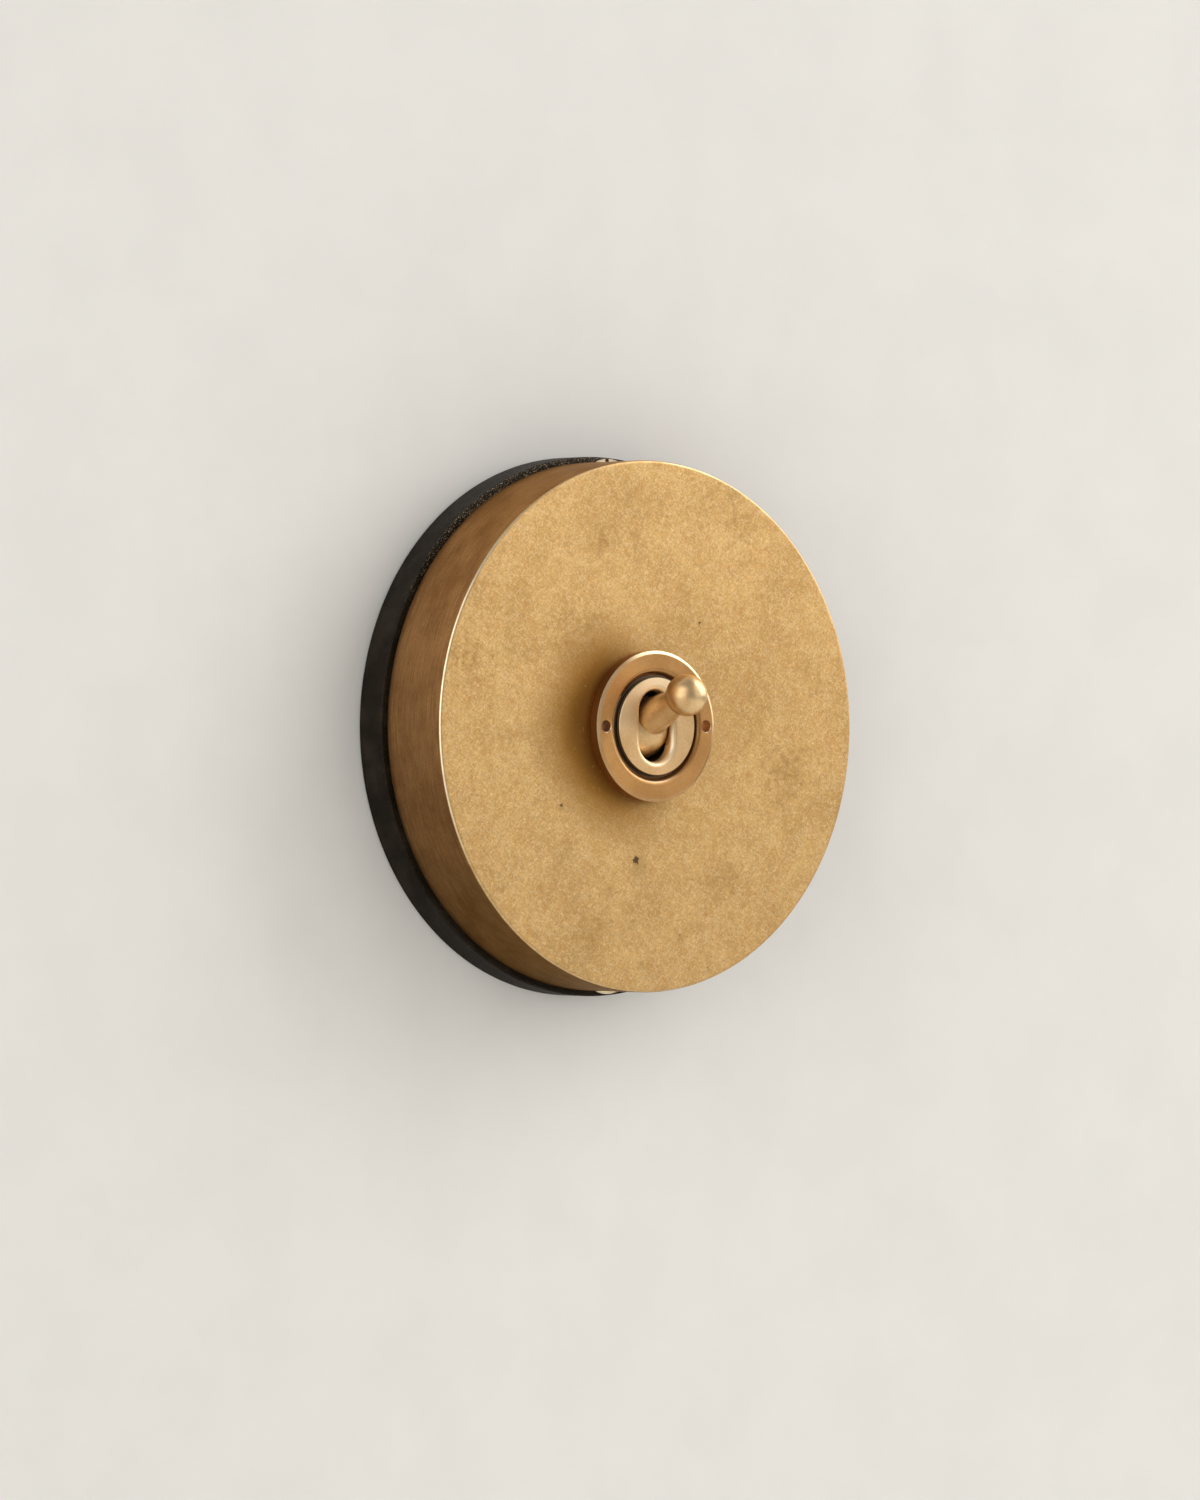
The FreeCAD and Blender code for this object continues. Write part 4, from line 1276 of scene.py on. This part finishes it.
@dataclass(frozen=True)
class RingBrass(SatinBrass):
    """Brass of the ring nut: rims rubbed bright with painted highlights, painted light on its left
    half, painted shade in the spanner holes with a painted highlight on their lower lip.
    """

    rubbed_highlight: Colour = (0.93, 0.76, 0.50)
    # Painted shade inside the spanner holes, lighter in the right one where more light falls
    left_hole_shade: Colour = (0.50, 0.35, 0.24)
    right_hole_shade: Colour = (0.74, 0.48, 0.28)

    def worn(self, s: Shader, colour: Socket) -> Socket:
        """Rubs the rims and paints highlights on them, and paints shade in the holes.

        Args:
            s: the material.
            colour: the brass's colour.

        Returns:
            The colour with wear and painted light.
        """
        height, radius, across = s.height(), s.radius(), s.along(1, 0)
        top, bore, rounding = Collar.ring_top, Collar.bore, Collar.ring_rounding
        crest, foot = Collar.ring_radius - Collar.ring_bevel_width, top - Collar.ring_bevel
        # Rims rubbed bright, with painted highlights at the upper right and the left
        upper_right = s.band(s.along(0.75, 1.0), 4.0, 11.0, 0.12, 0.90)
        left = s.band(s.along(1.0, -0.35), -9.0, -12.5, most=0.40)
        rim = s.times(
            s.band(radius, crest - 0.05, crest + 0.08), s.band(height, foot - 0.06, foot + 0.03),
            s.math("MAXIMUM", upper_right, left),
        )
        # Painted highlight on the inner rounding at the lower left
        inside = s.times(
            s.band(radius, bore + 0.75 * rounding, bore + 0.3 * rounding),
            s.band(height, top - 0.7, top - 0.35, most=0.6), s.band(s.along(1, 1), -2.0, -10.0),
        )
        inner, outer = (Collar.pin_pitch + side * Collar.pin_hole / 2 for side in (-1, 1))
        floor, bevel = top - Collar.pin_depth, top - Collar.pin_bevel
        hole = s.times(s.band(radius, inner - 0.02, inner + 0.02),
                       s.band(radius, outer + 0.12, outer + 0.06))
        # Painted shade deep in the holes
        deep = s.times(hole, s.band(height, top - 0.2, top - 0.4),
                       s.band(height, floor - 0.2, floor - 0.1, most=0.9))
        # Painted highlight on the holes' lower lips
        lip = s.times(
            hole, s.band(height, top - 0.02, top - 0.05), s.band(height, bevel - 0.05, bevel),
            s.band(s.along(0, 1), 0.3, -0.5, most=0.9),
        )
        # Painted light: the left half of the ring is lighter
        colour = s.shaded(colour, s.band(across, 2.0, -10.0, 1.0, 1.14))
        colour = s.mix(s.math("MAXIMUM", rim, inside), colour, self.rubbed_highlight)
        hole_shade = s.mix(s.band(across, -1.0, 1.0), self.left_hole_shade, self.right_hole_shade)
        return s.mix(lip, s.mix(deep, colour, hole_shade), self.rubbed_highlight)


@dataclass(frozen=True)
class DiscBrass(SatinBrass):
    """Brass of the bush: painted highlights on its disc's upper part and slot lip, painted shade
    on its right side and in the groove round it.
    """

    # Painted shade in the narrow groove between the disc and the ring
    groove_shadow: Colour = (0.035, 0.020, 0.011)
    rubbed_highlight: Colour = (0.95, 0.80, 0.56)

    def worn(self, s: Shader, colour: Socket) -> Socket:
        """Paints highlights on the disc's upper part and the slot's lip, and shade on its right
        side and in the groove round it.

        Args:
            s: the material.
            colour: the brass's colour.

        Returns:
            The colour with painted light.
        """
        height, radius, up = s.height(), s.radius(), s.along(0, 1)
        top, edge, lip = Collar.nose_top, Collar.nose_radius, Collar.slot_rounding
        foot = top - Collar.nose_step
        # Painted shade: the right side of the disc is darker
        colour = s.shaded(colour, s.band(s.along(1, 0), 1.0, 8.0, 1.02, 0.86))
        # Painted highlight: the upper part of the disc is paler
        colour = s.mix(s.band(s.along(-0.4, 1.0), 0.0, 8.0, most=0.6), colour, self.rubbed_highlight)
        # Lower lip of the slot made bright: partly rubbed wear, partly a painted highlight
        lip_foot = s.band(up, -2.5, -4.5, top - lip, top - 4.0 * lip)
        rubbed_lit_lip = s.times(
            s.band(s.math("SUBTRACT", height, lip_foot), 0.0, 0.4 * lip),
            s.band(height, top - 0.01, top - 0.10), s.band(radius, edge - 0.15, edge - 0.25),
            s.band(up, 3.0, -4.0, 0.25, 0.85),
        )
        colour = s.mix(rubbed_lit_lip, colour, self.rubbed_highlight)
        # A band left lighter in the painted groove shade: a painted glint of the thread
        line = s.times(s.band(height, foot + 0.22, foot + 0.30),
                       s.band(height, foot + 0.52, foot + 0.44))
        groove = s.times(
            s.band(radius, edge - 0.12, edge - 0.04), s.band(height, foot - 0.15, foot - 0.05),
            s.band(height, top - 0.04, top - 0.12), s.math("MULTIPLY_ADD", line, -0.75, 0.92),
        )
        return s.mix(groove, colour, self.groove_shadow)


@dataclass(frozen=True)
class PlainMetal(Finish):
    """A plain working metal: even colour with a drawn grain and light tarnish."""

    light: Colour
    dark: Colour
    rough: float = 0.32

    def paint(self, s: Shader) -> None:
        """Paints the tarnish, and draws the grain."""
        drawn = s.noise(1.0, 3.0, s.stretched((0.6, 6.0, 6.0)), 0.6)
        tarnish = Patches(self.dark, 0.45, 0.30, 0.72, rough=0.6)
        s.set(Base_Color=tarnish.over(s, self.light), Metallic=1.0)
        s.set(Roughness=s.band(drawn, 0.2, 0.8, self.rough - 0.06, self.rough + 0.10))
        s.bump(drawn, 0.004, 0.4)


@dataclass(frozen=True)
class Moulding(Finish):
    """A moulded or pressed insulator: base colour with flecks of a second one."""

    body: Colour
    fleck: Colour
    rough: float = 0.5
    fleck_scale: float = 1.2

    def paint(self, s: Shader) -> None:
        """Paints the flecks."""
        flecks = s.noise(self.fleck_scale, 4.0, rough=0.65)
        s.set(Base_Color=s.mix(s.band(flecks, 0.45, 0.72, most=0.5), self.body, self.fleck))
        s.set(Roughness=s.band(flecks, 0.3, 0.7, self.rough - 0.05, self.rough + 0.08))
        s.set(Specular_IOR_Level=0.4)
        s.bump(s.noise(4.0), 0.006, 0.5)


@dataclass(frozen=True)
class BlackBase(Finish):
    """Near-black base with a satin skin, fine grain and pale dust specks on its front ledge, kept
    to the upper part as painted highlight.
    """

    body: Colour = (0.007, 0.005, 0.003)
    worn: Patches = Patches((0.026, 0.020, 0.014), 0.20, 0.40, 0.75, 0.8, rough=0.6)
    dust_and_glint: Colour = (0.38, 0.30, 0.20)
    sheen: Colour = (1.0, 0.84, 0.66)
    ledge: float = Enclosure.base_height

    def paint(self, s: Shader) -> None:
        """Paints the skin, and dust specks lit as painted highlights on the upper part of the
        ledge.
        """
        up = s.along(0, 1)
        grain = s.noise(2.4, 4.0, rough=0.7)
        # Dust specks shown only on the upper ledge where light falls: partly dust, partly painted
        # highlight
        dusty_and_lit = s.times(
            s.band(s.height(), self.ledge - 0.5, self.ledge - 0.1), s.band(up, 16.0, 38.0, 0.08),
            s.band(s.noise(4.4, 2.0, rough=0.6), 0.56, 0.64, most=0.85),
        )
        s.set(Base_Color=s.mix(dusty_and_lit, self.worn.over(s, self.body), self.dust_and_glint))
        s.set(Specular_Tint=opaque(self.sheen))
        s.set(Specular_IOR_Level=s.band(up, -40.0, 16.0, 0.06, 0.14))
        s.set(Roughness=s.band(grain, 0.25, 0.75, 0.42, 0.60))
        s.bump(grain, 0.010, 0.5)


@dataclass(frozen=True)
class Paper(Finish):
    """Pale paper of the wall and floor, clear from its back."""

    light: Colour = (0.86, 0.85, 0.82)
    shade: float = 0.97

    def paint(self, s: Shader) -> None:
        """Paints the fibres, and clears the back."""
        dark = tuple(self.shade * c for c in self.light)
        s.set(Base_Color=s.mix(s.band(s.noise(0.05), 0.3, 0.7), self.light, dark))
        s.set(Roughness=0.9, Specular_IOR_Level=0.1)
        behind = s.add("ShaderNodeNewGeometry").outputs["Backfacing"]
        clear = s.add("ShaderNodeBsdfTransparent").outputs[0]
        both = s.add("ShaderNodeMixShader", {0: behind, 1: s.surface.outputs[0], 2: clear})
        s.feed(s.output.inputs["Surface"], both.outputs[0])


RING = RingBrass((0.47, 0.250, 0.090), (0.40, 0.205, 0.070), rough=0.38)
DISC = DiscBrass((0.66, 0.440, 0.222), (0.60, 0.390, 0.188), rough=0.46, turning=0.5)
LEVER = SatinBrass((0.78, 0.545, 0.290), (0.64, 0.415, 0.190), rough=0.33, turning=0.3)
FINISHES: dict[Slot, Finish] = {
    Slot.ANTIQUE_BRASS: AntiqueBrass(),
    Slot.BLACK_BASE: BlackBase(),
    Slot.SCREW_BRASS: PlainMetal((0.96, 0.80, 0.53), (0.80, 0.60, 0.34), rough=0.20),
    Slot.BRIGHT_STEEL: PlainMetal((0.62, 0.62, 0.61), (0.46, 0.46, 0.46), rough=0.30),
    Slot.PLAIN_BRASS: PlainMetal((0.72, 0.54, 0.26), (0.60, 0.42, 0.18)),
    Slot.SILVER_CONTACT: PlainMetal((0.80, 0.79, 0.76), (0.66, 0.65, 0.62)),
    Slot.BROWN_MOULDING: Moulding((0.045, 0.022, 0.013), (0.10, 0.045, 0.022)),
    Slot.RED_FIBRE: Moulding(
        (0.28, 0.060, 0.035), (0.20, 0.045, 0.03), rough=0.75, fleck_scale=2.5),
    Slot.WHITE_NYLON: Moulding(
        (0.80, 0.78, 0.72), (0.72, 0.69, 0.61), rough=0.42, fleck_scale=0.8),
}


# The studio, in metres


def aim(made: bpy.types.Object, place: Place, look: Sequence[float]) -> None:
    """Stands a lamp or camera at a place, looking in a direction."""
    made.location = place
    made.rotation_euler = Vector(look).to_track_quat("-Z", "Y").to_euler()


@dataclass(frozen=True)
class Lamp:
    """A soft square lamp aimed at the switch."""

    name: str
    place: Place
    watts: float
    tint: Colour
    size: float = 1.6

    def build(self) -> None:
        """Makes the lamp."""
        data = bpy.data.lights.new(self.name, "AREA")
        data.size, data.energy, data.color = self.size, self.watts, self.tint
        aim(placed_object(data), self.place, -Vector(self.place))


@dataclass(frozen=True)
class Studio:
    """Camera, soft lights, and the pale wall and floor that the switch is seen against."""

    eye: Place = (-0.8610, -1.0647, -0.0040)
    look: Place = (0.6315, 0.7754, 0.0)
    lens: float = 192.0           # in millimetres, as the sensor
    sensor: float = 36.0
    clip_end: float = 20.0
    wall_hole: float = 0.0445
    wall_gap: float = 0.0001
    wall_points: int = 128
    spread: float = 1.6
    floor_level: float = -0.5
    floor_depth: float = 2.4
    lamps: tuple[Lamp, ...] = (
        Lamp("window_lamp", (1.25, -0.33, 0.76), 21.0, (1.0, 0.985, 0.96)),
        Lamp("front_lamp", (0.90, -1.36, 0.52), 4.5, (1.0, 0.975, 0.94)),
        Lamp("side_lamp", (-1.32, -0.44, 0.40), 12.0, (1.0, 0.98, 0.95)),
    )
    room_tint: Colour = (1.0, 0.985, 0.96)
    room_light: float = 0.35

    def camera(self) -> None:
        """Makes the camera."""
        data = bpy.data.cameras.new("camera")
        data.lens, data.sensor_width, data.clip_end = self.lens, self.sensor, self.clip_end
        camera = placed_object(data)
        aim(camera, self.eye, self.look)
        bpy.context.scene.camera = camera

    def stage(self) -> None:
        """Makes the wall, open behind the base, and the floor in front of it."""
        made = bmesh.new()
        hole, edge = [], []
        for turn in circle(1.0, 0.0, self.wall_points):
            near = turn * self.wall_hole
            far = turn * (self.spread / max(abs(turn.x), abs(turn.y)))
            hole.append(made.verts.new((near.x, self.wall_gap, near.y)))
            edge.append(made.verts.new((far.x, self.wall_gap, max(far.y, self.floor_level))))
        for i in range(self.wall_points):
            made.faces.new((hole[i - 1], hole[i], edge[i], edge[i - 1]))
        side, back, front = self.spread, self.wall_gap, -self.floor_depth
        corners = ((-side, front), (side, front), (side, back), (-side, back))
        made.faces.new([made.verts.new((x, y, self.floor_level)) for x, y in corners])
        mesh = to_mesh("pale_stage", made)
        mesh.materials.append(Paper().build("pale_paper"))
        placed_object(mesh)

    def build(self) -> None:
        """Sets up the whole studio."""
        scene = bpy.context.scene
        scene.view_settings.view_transform = "Standard"
        self.camera()
        self.stage()
        for lamp in self.lamps:
            lamp.build()
        world = bpy.data.worlds.new("pale_room")
        world.use_nodes = True
        room = world.node_tree.nodes["Background"].inputs
        room["Color"].default_value = opaque(self.room_tint)
        room["Strength"].default_value = self.room_light
        scene.world = world


def main() -> None:
    """Builds the studio and the switch, piece by piece."""
    logging.basicConfig(level=logging.INFO, format="%(message)s")
    Studio().build()
    made = {slot: finish.build(f"{slot.value}_finish") for slot, finish in FINISHES.items()}
    Enclosure().build(made[Slot.ANTIQUE_BRASS], made[Slot.BLACK_BASE], made[Slot.SCREW_BRASS])
    Collar().build(RING.build("ring_brass"), DISC.build("disc_brass"))
    Dolly().build(LEVER.build("lever_brass"), made[Slot.BRIGHT_STEEL])
    Works(made).build()


if __name__ == "__main__":
    main()
